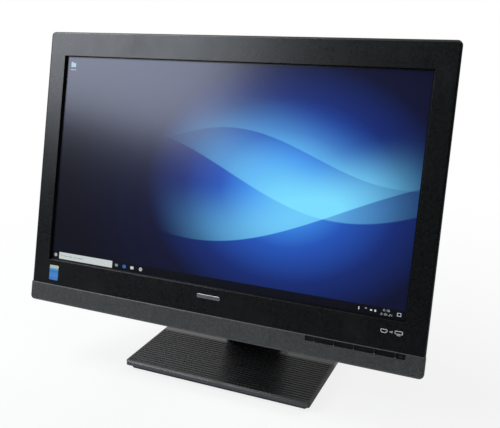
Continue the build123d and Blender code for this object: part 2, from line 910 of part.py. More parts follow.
# ---- head: sockets
def rear_socket(x, width, height):
    """Metal shell with its mouth down, flush with the cable bay's roof."""
    shell = block(span(x, width), (board_back, board_back + height), (bay_roof, bay_roof + usb_depth))
    inside_x = span(x, width - 2 * usb_wall)
    inside_y = (board_back + usb_wall, board_back + height - usb_wall)
    shell -= block(inside_x, inside_y, (bay_roof - past, bay_roof + usb_depth - socket_back))
    tongue_y = span(board_back + height / 2, tongue_thickness)
    tongue_z = (bay_roof + tongue_set_back, bay_roof + usb_depth - socket_back / 2)
    return shell + block(span(x, width - 2 * tongue_margin), tongue_y, tongue_z)


def rear_usb_sockets():
    return group([rear_socket(socket_x[name], usb_width, usb_height) for name in ("usb_1", "usb_2")])


def video_socket():
    return rear_socket(socket_x["video"], video_width, video_height)


def lan_socket():
    x = socket_x["lan"]
    y = (board_back, board_back + lan_height)
    body = block(span(x, lan_width), y, (bay_roof, bay_roof + lan_depth))
    mouth_y = (y[0] + lan_wall, y[0] + lan_wall + lan_mouth_height)
    body -= block(span(x, lan_mouth), mouth_y, (bay_roof - past, bay_roof + lan_mouth_depth))
    catch_y = (mouth_y[1] - past, mouth_y[1] + lan_wall)
    return body - block(span(x, lan_mouth / 2), catch_y, (bay_roof - past, bay_roof + lan_mouth_depth / 2))


def power_inlet():
    x = socket_x["power"]
    middle = board_back + inlet_height / 2
    top = bay_roof + inlet_depth
    body = block(span(x, inlet_width), (board_back, board_back + inlet_height), (bay_roof, top))
    body -= rod_z(inlet_bore, x, middle, (bay_roof - past, top - inlet_back))
    return body + rod_z(inlet_pin_radius, x, middle, (bay_roof + past, top - inlet_back / 2))


def side_usb_sockets():
    shells = []
    y = (side_socket_front, side_socket_front + usb_height)
    hollow_x = (side_socket_x[0] - past, side_socket_x[1] - socket_back)
    hollow_y = (y[0] + usb_wall, y[1] - usb_wall)
    tongue_x = (side_socket_x[0] + tongue_set_back, side_socket_x[1] - socket_back / 2)
    for z in side_usb_z:
        shell = block(side_socket_x, y, span(z, usb_width))
        shell -= block(hollow_x, hollow_y, span(z, usb_width - 2 * usb_wall))
        tongue = block(tongue_x, span(sum(y) / 2, tongue_thickness), span(z, usb_width - 2 * tongue_margin))
        shells.append(shell + tongue)
    return group(shells)


def audio_jack():
    y = (side_socket_front, side_socket_front + jack_size)
    body = block(side_socket_x, y, span(side_jack_z, jack_size))
    bore_x = (side_socket_x[0] - past, side_socket_x[1] - jack_back)
    return body - rod_x(jack_bore, bore_x, sum(y) / 2, side_jack_z)


def side_board():
    x = (-inner_half_width + past, -inner_half_width + past + side_board_width)
    low = side_jack_z - jack_size / 2 - side_board_margin
    high = side_usb_z[0] + usb_width / 2 + side_board_margin
    board = block(x, (side_board_front, side_socket_front), (low, high))
    post_x = x[1] - side_board_post_inset
    for z in (low + side_board_post_inset, high - side_board_post_inset):
        board += rod_y(side_board_post_radius, post_x, (plate_back, side_socket_front), z)
    return board


# ---- head: rear
def hump(inset):
    """Tapered rear form between the seam and the rear face, inset by one wall thickness or none."""
    seam_width = 2 * (half_head - side_draft - inset)
    seam_height = head_height - 2 * side_draft - 2 * inset
    seam_sheet = RectangleRounded(seam_width, seam_height, head_corner - inset / 2)
    rear_sheet_height = rear_top - rear_bottom - 2 * inset
    rear_sheet = RectangleRounded(2 * (rear_half_width - inset), rear_sheet_height, rear_corner - inset)
    low = Pos(0, seam, head_middle) * Rot(90, 0, 0) * seam_sheet
    high = Pos(0, rear_face - inset, hump_middle) * Rot(90, 0, 0) * rear_sheet
    return loft([low, high], ruled=True)


def bay(grow):
    """Cable bay under the board: the space itself, or grown by its wall."""
    x = (-bay_half_width - grow, bay_half_width + grow)
    return block(x, (bay_back - grow, rear_face + past), (bay_floor - grow, bay_roof + grow))


def socket_windows():
    """Openings in the bay's roof for the five sockets."""
    usb_size = (usb_width, usb_height)
    sizes = {"video": (video_width, video_height), "lan": (lan_width, lan_height), "usb_1": usb_size,
             "usb_2": usb_size, "power": (inlet_width, inlet_height)}
    windows = []
    for name, (width, height) in sizes.items():
        y = (board_back - part_gap, board_back + height + part_gap)
        x = span(socket_x[name], width + 2 * part_gap)
        windows.append(block(x, y, (bay_roof - past, bay_roof + wall + past)))
    return group(windows)


door_screw_z = hump_middle + door_height / 2 - door_screw_drop
lock_x = -rear_half_width + lock_slot_inset
lock_z = rear_bottom + lock_slot_inset


def rear_cover():
    outer = hump(0)
    in_front = block((-inner_half_width, inner_half_width), (plate_back, seam), (inner_bottom, inner_top))
    solid = outer + in_front
    shell = outer - hump(wall)
    shell += (bay(wall) & solid) - bay(0)
    for x, z in pillar_spots:
        shell += rod_y(pillar_radius, x, (plate_back, rear_face), z) & solid
        shell -= rod_y(screw_radius + part_gap, x, (plate_back - past, rear_face), z)
        shell -= rod_y(screw_head_radius + part_gap, x, (screw_seat, rear_face), z)
    shell -= bay(0)
    shell -= socket_windows()
    shell -= vent_slots()
    shell = door_seat(shell)
    for x, z in vesa_spots:
        shell -= rod_y(stand_screw_radius + part_gap, x, (rear_inside - past, rear_face + past), z)
    return shell - lock_slot()


def door_seat(shell):
    """The cover with the service door's recess, its opening and the boss for its screw."""
    recess_y = (rear_face - door_sheet, rear_face + past)
    recess_size = (door_width + 2 * part_gap, door_height + 2 * part_gap)
    shell -= panel(*recess_size, door_corner, recess_y, door_x, hump_middle)
    opening_size = (door_width - 2 * door_ledge, door_height - 2 * door_ledge)
    opening_y = (rear_inside - past, rear_face)
    shell -= panel(*opening_size, door_corner, opening_y, door_x, hump_middle)
    boss_z = (door_screw_z - door_boss_width / 2, hump_middle + door_height / 2 + door_ledge / 2)
    boss_y = (rear_inside - door_boss_depth, rear_face - door_sheet)
    shell += block(span(door_x, door_boss_width), boss_y, boss_z)
    return shell - rod_y(screw_radius, door_x, (boss_y[0] + past, rear_face), door_screw_z)


def lock_slot():
    cut_y = (rear_inside - lock_plate_sheet - past, rear_face + past)
    return block(span(lock_x, lock_slot_width), cut_y, span(lock_z, lock_slot_height))


def vent_slots():
    """Rows of slots through the top slope, and a field of them low on the rear face."""
    slots = []
    slope = math.degrees(math.atan2(rear_top_run - side_draft, rear_face - seam))
    middle_y = (seam + rear_face) / 2
    middle_z = (head_above_picture - side_draft + rear_top) / 2
    slot = Box(vent_width, 4 * wall, vent_length)
    for step in range(-vent_half_count, vent_half_count + 1):
        slots.append(Pos(step * vent_pitch, middle_y, middle_z) * Rot(180 - slope, 0, 0) * slot)
    field_y = (rear_inside - past, rear_face + past)
    field_z = span(hump_middle, vent_field_length)
    for step in range(-vent_field_half_count, vent_field_half_count + 1):
        slots.append(block(span(vent_field_x + step * vent_pitch, vent_width), field_y, field_z))
    return group(slots)


def service_door():
    y = (rear_face - door_sheet, rear_face)
    door = panel(door_width, door_height, door_corner - part_gap, y, door_x, hump_middle)
    return door - rod_y(screw_radius + part_gap, door_x, (y[0] - past, y[1] + past), door_screw_z)


def screw_along_y(x, z, tip, seat):
    """Screw whose shank runs from its tip to just inside its head, which stands on its seat."""
    shank = rod_y(screw_radius, x, (tip, seat + screw_root), z)
    return shank + rod_y(screw_head_radius, x, (seat, seat + screw_head_height), z)


def cover_screws():
    tip = bezel_face + skin + pillar_floor + screw_tip_gap
    screws = [screw_along_y(x, z, tip, screw_seat) for x, z in pillar_spots]
    door_tip = rear_inside - door_boss_depth + 2 * past
    screws.append(screw_along_y(door_x, door_screw_z, door_tip, rear_face))
    return group(screws)


def lock_plate():
    y = (rear_inside - lock_plate_sheet, rear_inside)
    return block(span(lock_x, lock_plate_width), y, span(lock_z, lock_plate_height)) - lock_slot()


def stand_bracket():
    """Steel bridge over the board that takes the stand's screws."""
    z = span(-hinge_below_picture, vesa_spacing + 2 * bracket_margin)
    top_y = (rear_inside - bracket_sheet, rear_inside)
    inner_x = bracket_half_width - bracket_sheet
    bridge = block((-bracket_half_width, bracket_half_width), top_y, z)
    for side in (-1, 1):
        leg_x = sorted((side * bracket_half_width, side * inner_x))
        bridge += block(leg_x, (plate_back, rear_inside), z)
        flange_x = sorted((side * inner_x, side * (bracket_half_width + bracket_flange)))
        bridge += block(flange_x, (plate_back, plate_back + bracket_sheet), z)
    for x, hole_z in vesa_spots:
        bridge += rod_y(bracket_boss_radius, x, (top_y[0] - bracket_boss_height, rear_inside), hole_z)
        hole_y = (top_y[0] - bracket_boss_height - past, rear_inside + past)
        bridge -= rod_y(stand_screw_radius, x, hole_y, hole_z)
    cut_y = (top_y[0] - past, rear_inside + past)
    return bridge - panel(*bracket_window, bracket_window_corner, cut_y, 0, -hinge_below_picture)


# ---- hinge, head side
plate_rear = rear_face + hinge_plate_thickness
hinge_plate_size = vesa_spacing + 2 * hinge_plate_margin
ear_inner = knuckle_half_length + washer_thickness


def hinge_plate():
    plate_y = (rear_face, plate_rear)
    plate_corner = hinge_plate_corner
    plate = panel(hinge_plate_size, hinge_plate_size, plate_corner, plate_y, 0, -hinge_below_picture)
    plate = chamfer(plate.edges().group_by(Axis.Y)[-1], edge_chamfer)
    for side in (-1, 1):
        x = sorted((side * ear_inner, side * (ear_inner + ear_thickness)))
        root = block(x, (rear_face + past, plate_rear), span(-hinge_below_picture, 2 * ear_root_half_height))
        boss = rod_x(ear_radius, x, hinge_back, -hinge_below_picture)
        plate += boss + root + ear_web(x)
        bore_x = (x[0] - past, x[1] + past)
        plate -= rod_x(axle_radius + run_gap, bore_x, hinge_back, -hinge_below_picture)
    for x, z in vesa_spots:
        plate -= rod_y(stand_screw_radius + part_gap, x, (rear_face - past, plate_rear + past), z)
    return plate


def ear_web(x):
    """Web of one ear, tangent to its boss and as tall as its root at the plate."""
    reach = hinge_back - plate_rear
    distance = math.hypot(reach, ear_root_half_height)
    turn = math.atan2(ear_root_half_height, -reach) - math.acos(ear_radius / distance)
    tangent = (hinge_back + ear_radius * math.cos(turn), ear_radius * math.sin(turn))
    outline = [(plate_rear, ear_root_half_height), tangent]
    outline += [(y, -z) for y, z in reversed(outline)]
    points = [(x[0], y, z - hinge_below_picture) for y, z in outline]
    return extrude(make_face(Polyline(*points, close=True)), x[1] - x[0], dir=(1, 0, 0))


def hinge_screws():
    screws = []
    tip = rear_inside - bracket_sheet - bracket_boss_height
    for x, z in vesa_spots:
        screw = rod_y(stand_screw_radius, x, (tip, plate_rear + screw_root), z)
        head = rod_y(stand_screw_head, x, (plate_rear, plate_rear + stand_screw_head_height), z)
        screws.append(screw + head)
    return group(screws)


# ---- neck, in its own frame: origin on the tilt axis, foot towards -Z
nut_outer = ear_inner + ear_thickness + nut_thickness
neck_top = -knuckle_radius - neck_top_drop
neck_far = 2 * neck_length
above_disc = neck_place.inverse() * block((-neck_width, neck_width), span(swivel_y, 2 * neck_far),
                                          (disc_top, axis_z + neck_far))
neck_screw_spots = corners(*neck_screw_spread, z=swivel_y)
spine_slot_x = span(0, spine_width + 2 * part_gap)
spine_slot_y = span(0, spine_thickness + 2 * part_gap)


def axle():
    return rod_x(axle_radius, (-nut_outer - past, nut_outer + past), 0, 0)


def friction_washers():
    washers = []
    for side in (-1, 1):
        x = sorted((side * knuckle_half_length, side * (ear_inner - run_gap)))
        washers.append(rod_x(washer_radius, x, 0, 0) - axle())
    return group(washers)


def axle_nuts():
    nuts = []
    for side in (-1, 1):
        low = side * (ear_inner + ear_thickness + run_gap)
        high = side * nut_outer
        place = Pos((low + high) / 2, 0, 0) * Rot(0, 90, 0)
        nut = place * extrude(RegularPolygon(nut_radius, 6), abs(high - low) / 2, both=True)
        nuts.append(nut - axle())
    return group(nuts)


def neck_spine():
    web_z = (-neck_length - neck_foot_thickness, -knuckle_radius / 2)
    spine = block(span(0, spine_width), span(0, spine_thickness), web_z) & above_disc
    spine += rod_x(knuckle_radius, (-knuckle_half_length, knuckle_half_length), 0, 0)
    spine -= axle()
    foot_z = (disc_top, disc_top + spine_foot_sheet)
    foot = block(span(0, spine_foot_width), span(swivel_y, spine_foot_depth), foot_z)
    for x, y in neck_screw_spots:
        foot -= rod_z(stand_screw_radius + part_gap, x, y, (foot_z[0] - past, foot_z[1] + past))
    return spine + neck_place.inverse() * foot


def neck_tube(inset, top):
    """Tapered round-cornered column that ends below the knuckle and is cut off at the disc."""
    bottom = -neck_length - neck_foot_thickness
    taper = (neck_foot_thickness - neck_top_thickness) / neck_length
    foot_thickness = neck_top_thickness - taper * (bottom - neck_top)
    width = neck_width - 2 * inset
    low = Pos(0, 0, bottom) * RectangleRounded(width, foot_thickness - 2 * inset, neck_corner - inset)
    high = Pos(0, 0, top) * RectangleRounded(width, neck_top_thickness - 2 * inset, neck_corner - inset)
    return loft([low, high], ruled=True) & above_disc


def neck_cover(side):
    """Front half with side -1, rear half with side +1."""
    tube = neck_tube(0, neck_top) - neck_tube(neck_wall, neck_top - neck_wall)
    slot = block(spine_slot_x, spine_slot_y, (neck_top - 2 * neck_wall, neck_top + past))
    half = block(span(0, 2 * neck_width), sorted((0, side * neck_far)), (-neck_far, 0))
    return (tube - slot) & half


def hinge_shroud():
    """Curved cap over the hinge's back, standing on the neck's rear cover."""
    length = span(0, neck_width)
    inside = rod_x(shroud_radius - shroud_wall, (length[0] - past, length[1] + past), 0, 0)
    reach = 2 * shroud_radius
    low = math.radians(shroud_low_angle)
    high = math.radians(shroud_high_angle)
    fan = [(0, 0)] + [(reach * math.cos(a), reach * math.sin(a)) for a in (low, (low + high) / 2, high)]
    points = [(length[0], y, z) for y, z in fan]
    wedge = extrude(make_face(Polyline(*points, close=True)), neck_width, dir=(1, 0, 0))
    cap = (rod_x(shroud_radius, length, 0, 0) - inside) & wedge
    skirt_y = (shroud_radius - shroud_wall, shroud_radius)
    cap += block(span(0, neck_width - 2 * neck_corner), skirt_y, (neck_top - shroud_skirt_lap, 0))
    return cap - neck_tube(0, neck_top) - block(spine_slot_x, spine_slot_y, (neck_top, 0))


def neck_screws():
    screws = []
    seat = disc_top + spine_foot_sheet
    for x, y in neck_screw_spots:
        screw = rod_z(stand_screw_radius, x, y, (disc_top - neck_screw_grip, seat + screw_root))
        screws.append(screw + rod_z(neck_screw_head, x, y, (seat, seat + neck_screw_head_height)))
    return group(screws)


# ---- base
flange_z = (base_plate_top + slip_ring_thickness, base_top - base_skin - run_gap)
foot_spots = corners(base_width / 2 - foot_inset, base_depth / 2 - foot_inset, z=base_middle)
base_screw_spots = corners(base_width / 3, base_depth / 3, z=base_middle)


def swivel_disc():
    disc = rod_z(disc_flange_radius, 0, swivel_y, flange_z)
    disc += rod_z(disc_boss_radius - part_gap, 0, swivel_y, (flange_z[0], disc_top))
    disc -= rod_z(pivot_radius + run_gap, 0, swivel_y, (flange_z[0] - past, disc_top - disc_roof))
    for x, y in neck_screw_spots:
        disc -= rod_z(stand_screw_radius, x, y, (disc_top - neck_screw_grip, disc_top + past))
    return disc


def slip_ring():
    outer_radius = disc_flange_radius - slip_ring_inset
    ring = rod_z(outer_radius, 0, swivel_y, (base_plate_top, flange_z[0]))
    hole_z = (base_plate_top - past, flange_z[0] + past)
    return ring - rod_z(outer_radius - slip_ring_width, 0, swivel_y, hole_z)


def base_prism(inset, corner, z):
    sheet = extrude(RectangleRounded(base_width - 2 * inset, base_depth - 2 * inset, corner), z[1] - z[0])
    return Pos(0, base_middle, z[0]) * sheet


base_screw_seat = base_plate_top - base_sheet


def base_plate():
    """Steel pan under the deck: a flat sheet with a rim that turns down all round."""
    plate = base_prism(base_plate_inset, base_corner, (base_plate_bottom, base_plate_top))
    plate = chamfer(plate.edges().group_by(Axis.Z)[0], edge_chamfer)
    below = base_plate_bottom - past
    plate -= base_prism(base_plate_inset + base_rim, base_corner, (below, base_screw_seat))
    for x, y in foot_spots:
        plate -= rod_z(foot_radius, x, y, (below, base_screw_seat + foot_recess))
    for x, y in base_screw_spots:
        plate -= rod_z(screw_radius + part_gap, x, y, (below, base_plate_top + past))
    return plate + rod_z(pivot_radius, 0, swivel_y, (base_plate_top - past, disc_top - pivot_drop))


def base_cover():
    low = base_plate_top
    profile = [(base_front, low), (base_front, base_top - base_lip_drop)]
    profile += [(base_front + base_lip_run, base_top), (base_rear - edge_chamfer, base_top)]
    profile += [(base_rear, base_top - edge_chamfer), (base_rear, low)]
    points = [(-base_width / 2, y, z) for y, z in profile]
    cover = extrude(make_face(Polyline(*points, close=True)), base_width, dir=(1, 0, 0))
    cover = cover & base_prism(0, base_corner, (low, base_top))
    cover -= base_prism(base_wall, base_corner, (low - past, base_top - base_skin))
    root_z = (low, base_top - base_skin / 2)
    for x, y in base_screw_spots:
        cover += rod_z(pillar_radius, x, y, root_z)
        cover -= rod_z(screw_radius, x, y, (low - past, base_top - base_skin + base_screw_blind))
    stiffener_y = (base_front + base_stiffener_inset, swivel_y - disc_flange_radius - base_stiffener_gap)
    for step in range(-base_stiffener_half_count, base_stiffener_half_count + 1):
        x = step * base_width / (2 * base_stiffener_half_count + 2)
        cover += block(span(x, base_stiffener), stiffener_y, root_z)
    cover -= rod_z(disc_boss_radius, 0, swivel_y, (low - past, base_top + past))
    return cover - rib_grooves()


def rib_grooves():
    """Shallow grooves across the front of the deck, which leave its ribs between them."""
    half_width = base_width / 2 - base_lip_run
    first = base_front + base_lip_run + rib_start
    grooves = []
    for step in range(rib_count):
        y = span(first + step * rib_pitch, rib_groove)
        grooves.append(block((-half_width, half_width), y, (base_top - rib_depth, base_top + past)))
    return group(grooves)


def rubber_feet():
    feet = []
    for x, y in foot_spots:
        foot = rod_z(foot_radius, x, y, (0, base_screw_seat + foot_recess))
        feet.append(fillet(foot.edges().group_by(Axis.Z)[0], foot_round))
    return group(feet)


def base_screws():
    screws = []
    for x, y in base_screw_spots:
        head = rod_z(screw_head_radius, x, y, (base_screw_seat - screw_head_height, base_screw_seat))
        screws.append(head + rod_z(screw_radius, x, y, (base_screw_seat - part_gap, base_top - base_skin)))
    return group(screws)


# ---- every piece, in the frame that it is drawn in
key_names = ["front_key_1", "front_key_2", "front_key_3", "front_key_4", "front_key_5", "power_key"]
head_pieces = {
    "front_bezel": front_bezel, "chin_bar": chin_bar, "key_board": key_board, "lcd_glass": lcd_glass,
    "light_guide": light_guide, "led_bar": led_bar, "backlight_tray": backlight_tray,
    "chassis_plate": chassis_plate, "motherboard": motherboard, "memory_modules": memory_modules,
    "wireless_card": wireless_card, "coin_cell": coin_cell, "cpu_cooler": cpu_cooler,
    "fin_stack": fin_stack, "blower_housing": blower_housing,
    "blower_impeller": blower_impeller, "hard_drive": hard_drive, "drive_caddy": drive_caddy,
    "optical_drive": optical_drive, "drive_bracket": drive_bracket, "disc_tray": disc_tray,
    "eject_button": eject_button, "rear_usb_sockets": rear_usb_sockets, "video_socket": video_socket,
    "lan_socket": lan_socket, "power_inlet": power_inlet, "side_usb_sockets": side_usb_sockets,
    "audio_jack": audio_jack, "side_board": side_board, "rear_cover": rear_cover,
    "service_door": service_door, "cover_screws": cover_screws, "lock_plate": lock_plate,
    "stand_bracket": stand_bracket, "hinge_plate": hinge_plate, "hinge_screws": hinge_screws,
}
neck_pieces = {
    "axle": axle, "friction_washers": friction_washers, "axle_nuts": axle_nuts, "neck_spine": neck_spine,
    "hinge_shroud": hinge_shroud,
}
base_pieces = {
    "neck_screws": neck_screws, "swivel_disc": swivel_disc, "slip_ring": slip_ring, "base_plate": base_plate,
    "base_cover": base_cover, "rubber_feet": rubber_feet, "base_screws": base_screws,
}


def save(name, shape, place):
    placed = place * shape
    export_step(placed, f"parts/{name}.step")


os.makedirs("parts", exist_ok=True)
for name, make in head_pieces.items():
    save(name, make(), head_place)
for name, (left, right) in zip(key_names, key_spans()):
    save(name, front_key(left, right), head_place)
for name, order in (("heat_pipe_inner", 0), ("heat_pipe_outer", 1)):
    save(name, pipe(order), head_place)
for name, side in (("speaker_left", -1), ("speaker_right", 1)):
    save(name, speaker(side), head_place)
for name, make in neck_pieces.items():
    save(name, make(), neck_place)
for name, side in (("neck_front_cover", -1), ("neck_rear_cover", 1)):
    save(name, neck_cover(side), neck_place)
for name, make in base_pieces.items():
    save(name, make(), Location())
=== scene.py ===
import math

import bmesh
import bpy
from mathutils import Matrix, Vector


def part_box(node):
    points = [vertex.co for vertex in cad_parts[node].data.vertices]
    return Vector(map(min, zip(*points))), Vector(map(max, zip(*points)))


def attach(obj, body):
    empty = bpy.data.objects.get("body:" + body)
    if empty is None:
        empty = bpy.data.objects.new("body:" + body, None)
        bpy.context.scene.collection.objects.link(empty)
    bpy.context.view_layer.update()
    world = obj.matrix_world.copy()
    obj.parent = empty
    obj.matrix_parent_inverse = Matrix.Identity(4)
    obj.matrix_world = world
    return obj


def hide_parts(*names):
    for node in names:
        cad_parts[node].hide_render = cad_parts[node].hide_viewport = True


# Looks of an all-in-one desktop computer on a slab stand. Metres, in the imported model's frame.

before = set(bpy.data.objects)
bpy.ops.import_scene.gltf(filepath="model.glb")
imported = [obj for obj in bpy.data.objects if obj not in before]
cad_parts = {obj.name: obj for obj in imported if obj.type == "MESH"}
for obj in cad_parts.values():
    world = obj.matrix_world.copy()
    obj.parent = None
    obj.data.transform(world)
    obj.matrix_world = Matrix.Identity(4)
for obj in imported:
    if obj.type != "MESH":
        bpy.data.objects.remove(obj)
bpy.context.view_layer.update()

mm = 0.001
full_turn = 2 * math.pi
x_axis, y_axis, z_axis = 0, 1, 2

# ---- the head's own frame: origin at the middle of the picture, on the front of the glass
head_lean = math.radians(14.6)
glass_thickness = 1.8 * mm
picture_width, picture_height = 509.2 * mm, 286.4 * mm
half_width, half_height = picture_width / 2, picture_height / 2
glass_low, glass_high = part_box("lcd_glass")
head_turn = Matrix.Rotation(-head_lean, 4, "X")
glass_middle = (glass_low + glass_high) / 2
half_glass = Vector((0, glass_thickness / 2, 0))
head_frame = Matrix.Translation(glass_middle - head_turn @ half_glass) @ head_turn

# ---- the head's front, in that frame
bezel_front = -4.5 * mm
chin_front = -6.0 * mm
key_row_left, key_row_right = 138.8 * mm, 261.3 * mm
key_row_low, key_row_high = -187.8 * mm, -181.4 * mm
key_names = [f"front_key_{number}" for number in range(1, 6)] + ["power_key"]

# ---- USB sockets, in that frame
board_back = 15.8 * mm
usb_height = 7.0 * mm
tongue_middle = board_back + usb_height / 2
tongue_half = 0.95 * mm
tongue_reach = 5.5 * mm
rear_usb_across = (-8.0 * mm, 12.0 * mm)
side_usb_up = (-66.0 * mm, -86.0 * mm)
bay_roof = -146.0 * mm

# ---- the deck's ribs, from the front
rib_pitch = 5.5 * mm
rib_count = 18
deck_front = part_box("base_cover")[0].y
first_groove = deck_front + 8.0 * mm
last_groove = first_groove + rib_count * rib_pitch

# ---- where the lit picture and its marks lie, from the front of the glass
picture_front, picture_back = -0.12 * mm, -0.02 * mm
mark_front = -0.18 * mm

# ---- how far printed marks stand off what carries them
print_thickness = 0.05 * mm


def rgb(red, green, blue):
    return (red, green, blue, 1.0)


def grey(value):
    return rgb(value, value, value)


def shade(colour, share, lift=0.0):
    return rgb(*(min(1.0, channel * share + lift) for channel in colour[:3]))


# ---- nodes
class Wiring:
    """Puts nodes into one tree and joins them."""

    def __init__(self, tree):
        self.tree = tree

    def put(self, kind, inputs=None, **settings):
        node = self.tree.nodes.new("ShaderNode" + kind)
        for key, value in settings.items():
            setattr(node, key, value)
        for key, value in (inputs or {}).items():
            self.feed(node.inputs[key], value)
        return node

    def feed(self, socket, value):
        """Joins a socket to another one, or sets it to a value."""
        if isinstance(value, bpy.types.NodeSocket):
            self.tree.links.new(value, socket)
        else:
            socket.default_value = value

    def maths(self, operation, *values):
        node = self.put("Math", operation=operation)
        for socket, value in zip(node.inputs, values):
            self.feed(socket, value)
        return node.outputs["Value"]

    def add(self, first, second):
        return self.maths("ADD", first, second)

    def subtract(self, first, second):
        return self.maths("SUBTRACT", first, second)

    def multiply(self, first, second):
        return self.maths("MULTIPLY", first, second)

    def dot(self, first, second):
        inputs = {0: first, 1: second}
        return self.put("VectorMath", inputs, operation="DOT_PRODUCT").outputs["Value"]

    def smooth(self, value, low, high, start=0.0, end=1.0):
        """Eased step from start to end while the value goes from low to high."""
        inputs = {"Value": value, "From Min": low, "From Max": high, "To Min": start, "To Max": end}
        return self.put("MapRange", inputs, interpolation_type="SMOOTHSTEP").outputs["Result"]

    def between(self, value, low, high, edge):
        """1 from low to high, with an eased edge this far to each side of both."""
        rise = self.smooth(value, low - edge, low + edge)
        return self.multiply(rise, self.smooth(value, high + edge, high - edge))

    def mix(self, factor, first, second):
        inputs = {"Factor": factor, "A": first, "B": second}
        return self.put("Mix", inputs, data_type="RGBA").outputs["Result"]

    def mix_value(self, factor, first, second):
        return self.put("Mix", {"Factor": factor, "A": first, "B": second}).outputs["Result"]

    def noise(self, vector, scale, detail=2.0, roughness=0.5):
        inputs = {"Vector": vector, "Scale": scale, "Detail": detail, "Roughness": roughness}
        return self.put("TexNoise", inputs).outputs["Fac"]

    def cells(self, vector, scale, randomness):
        inputs = {"Vector": vector, "Scale": scale, "Randomness": randomness}
        return self.put("TexVoronoi", inputs).outputs["Distance"]

    def stretch(self, vector, scale):
        return self.put("Mapping", {"Vector": vector, "Scale": scale}).outputs["Vector"]

    def parts(self, vector):
        return self.put("SeparateXYZ", {"Vector": vector}).outputs

    def ramp(self, factor, stops):
        node = self.put("ValToRGB", {"Fac": factor})
        elements = node.color_ramp.elements
        while len(elements) < len(stops):
            elements.new(0.5)
        for element, (position, colour) in zip(elements, stops):
            element.position = position
            element.color = colour
        return node.outputs["Color"]


def start_group(name, inputs, outputs):
    """A node group with named sockets; gives its wiring, its inputs and its outputs."""
    tree = bpy.data.node_groups.new(name, "ShaderNodeTree")
    for label, (kind, value) in inputs.items():
        socket = tree.interface.new_socket(label, in_out="INPUT", socket_type="NodeSocket" + kind)
        if value is not None:
            socket.default_value = value
    for label, kind in outputs.items():
        tree.interface.new_socket(label, in_out="OUTPUT", socket_type="NodeSocket" + kind)
    entry = tree.nodes.new("NodeGroupInput")
    leave = tree.nodes.new("NodeGroupOutput")
    return Wiring(tree), entry.outputs, leave.inputs


def moulded_grain_group():
    """Fine pitted texture of a moulded case: pits, flecks between them and a slower cloudiness."""
    inputs = {"Place": ("Vector", None), "Grain Size": ("Float", 0.5 * mm)}
    outputs = {"Height": "Float", "Fleck": "Float", "Mottle": "Float"}
    wiring, entry, leave = start_group("moulded_grain", inputs, outputs)
    scale = wiring.maths("DIVIDE", 1.0, entry["Grain Size"])
    ground_scale = wiring.multiply(scale, 0.6)
    cloud_scale = wiring.multiply(scale, 0.22)
    pits = wiring.cells(entry["Place"], scale, randomness=1.0)
    ground = wiring.noise(entry["Place"], ground_scale, detail=3.0)
    cloud = wiring.noise(entry["Place"], cloud_scale, detail=3.0, roughness=0.65)
    pit_depth = wiring.multiply(pits, 0.6)
    wiring.feed(leave["Height"], wiring.add(pit_depth, ground))
    wiring.feed(leave["Fleck"], wiring.smooth(pits, low=0.1, high=0.8))
    wiring.feed(leave["Mottle"], wiring.smooth(cloud, low=0.35, high=0.68))
    return wiring.tree


def handling_group():
    """Where hands and dust leave marks: smudges anywhere, dust on what faces up."""
    inputs = {"Place": ("Vector", None)}
    outputs = {"Smudge": "Float", "Dust": "Float"}
    wiring, entry, leave = start_group("handling", inputs, outputs)
    palm_scale, wipe_scale, speck_scale = 9.0, (40.0, 40.0, 14.0), 700.0
    palms = wiring.noise(entry["Place"], palm_scale, detail=3.0)
    wiped = wiring.stretch(entry["Place"], wipe_scale)
    wipes = wiring.noise(wiped, 1.0, detail=4.0, roughness=0.6)
    smudge = wiring.multiply(wiring.smooth(palms, low=0.42, high=0.68),
                             wiring.smooth(wipes, low=0.35, high=0.7))
    upward = wiring.parts(wiring.put("NewGeometry").outputs["Normal"])["Z"]
    specks = wiring.noise(entry["Place"], speck_scale, detail=2.0, roughness=0.7)
    speck_share = wiring.multiply(wiring.smooth(specks, low=0.5, high=0.75), 0.65)
    film = wiring.add(0.35, speck_share)
    wiring.feed(leave["Smudge"], smudge)
    wiring.feed(leave["Dust"], wiring.multiply(wiring.smooth(upward, low=0.45, high=0.95), film))
    return wiring.tree


def edge_wear_group():
    """Worn edges: where the rounded normal leaves the flat one, broken up by scuffs."""
    inputs = {"Place": ("Vector", None), "Width": ("Float", 0.6 * mm)}
    outputs = {"Wear": "Float", "Normal": "Vector"}
    wiring, entry, leave = start_group("edge_wear", inputs, outputs)
    rounded = wiring.put("Bevel", {"Radius": entry["Width"]}, samples=4).outputs["Normal"]
    flat = wiring.put("NewGeometry").outputs["Normal"]
    facing = wiring.dot(rounded, flat)
    scuff_scale = 160.0
    scuffs = wiring.noise(entry["Place"], scuff_scale, detail=4.0, roughness=0.65)
    wear = wiring.multiply(wiring.smooth(facing, low=0.995, high=0.86),
                           wiring.smooth(scuffs, low=0.42, high=0.7))
    wiring.feed(leave["Wear"], wear)
    wiring.feed(leave["Normal"], rounded)
    return wiring.tree


def brushed_group():
    """Long fine scratches of a brushed or rolled sheet, along X."""
    inputs = {"Place": ("Vector", None), "Pitch": ("Float", 0.4 * mm)}
    outputs = {"Height": "Float", "Tone": "Float"}
    wiring, entry, leave = start_group("brushed_sheet", inputs, outputs)
    line_stretch, cloud_scale, line_share = (0.03, 1.0, 1.0), 60.0, 0.6
    scale = wiring.maths("DIVIDE", 1.0, entry["Pitch"])
    lines = wiring.noise(wiring.stretch(entry["Place"], line_stretch), scale, detail=3.0)
    cloud = wiring.noise(entry["Place"], cloud_scale, detail=3.0)
    wiring.feed(leave["Height"], lines)
    wiring.feed(leave["Tone"], wiring.add(wiring.multiply(lines, line_share),
                                          wiring.multiply(cloud, 1.0 - line_share)))
    return wiring.tree


moulded_grain = moulded_grain_group()
handling = handling_group()
edge_wear = edge_wear_group()
brushed_sheet = brushed_group()


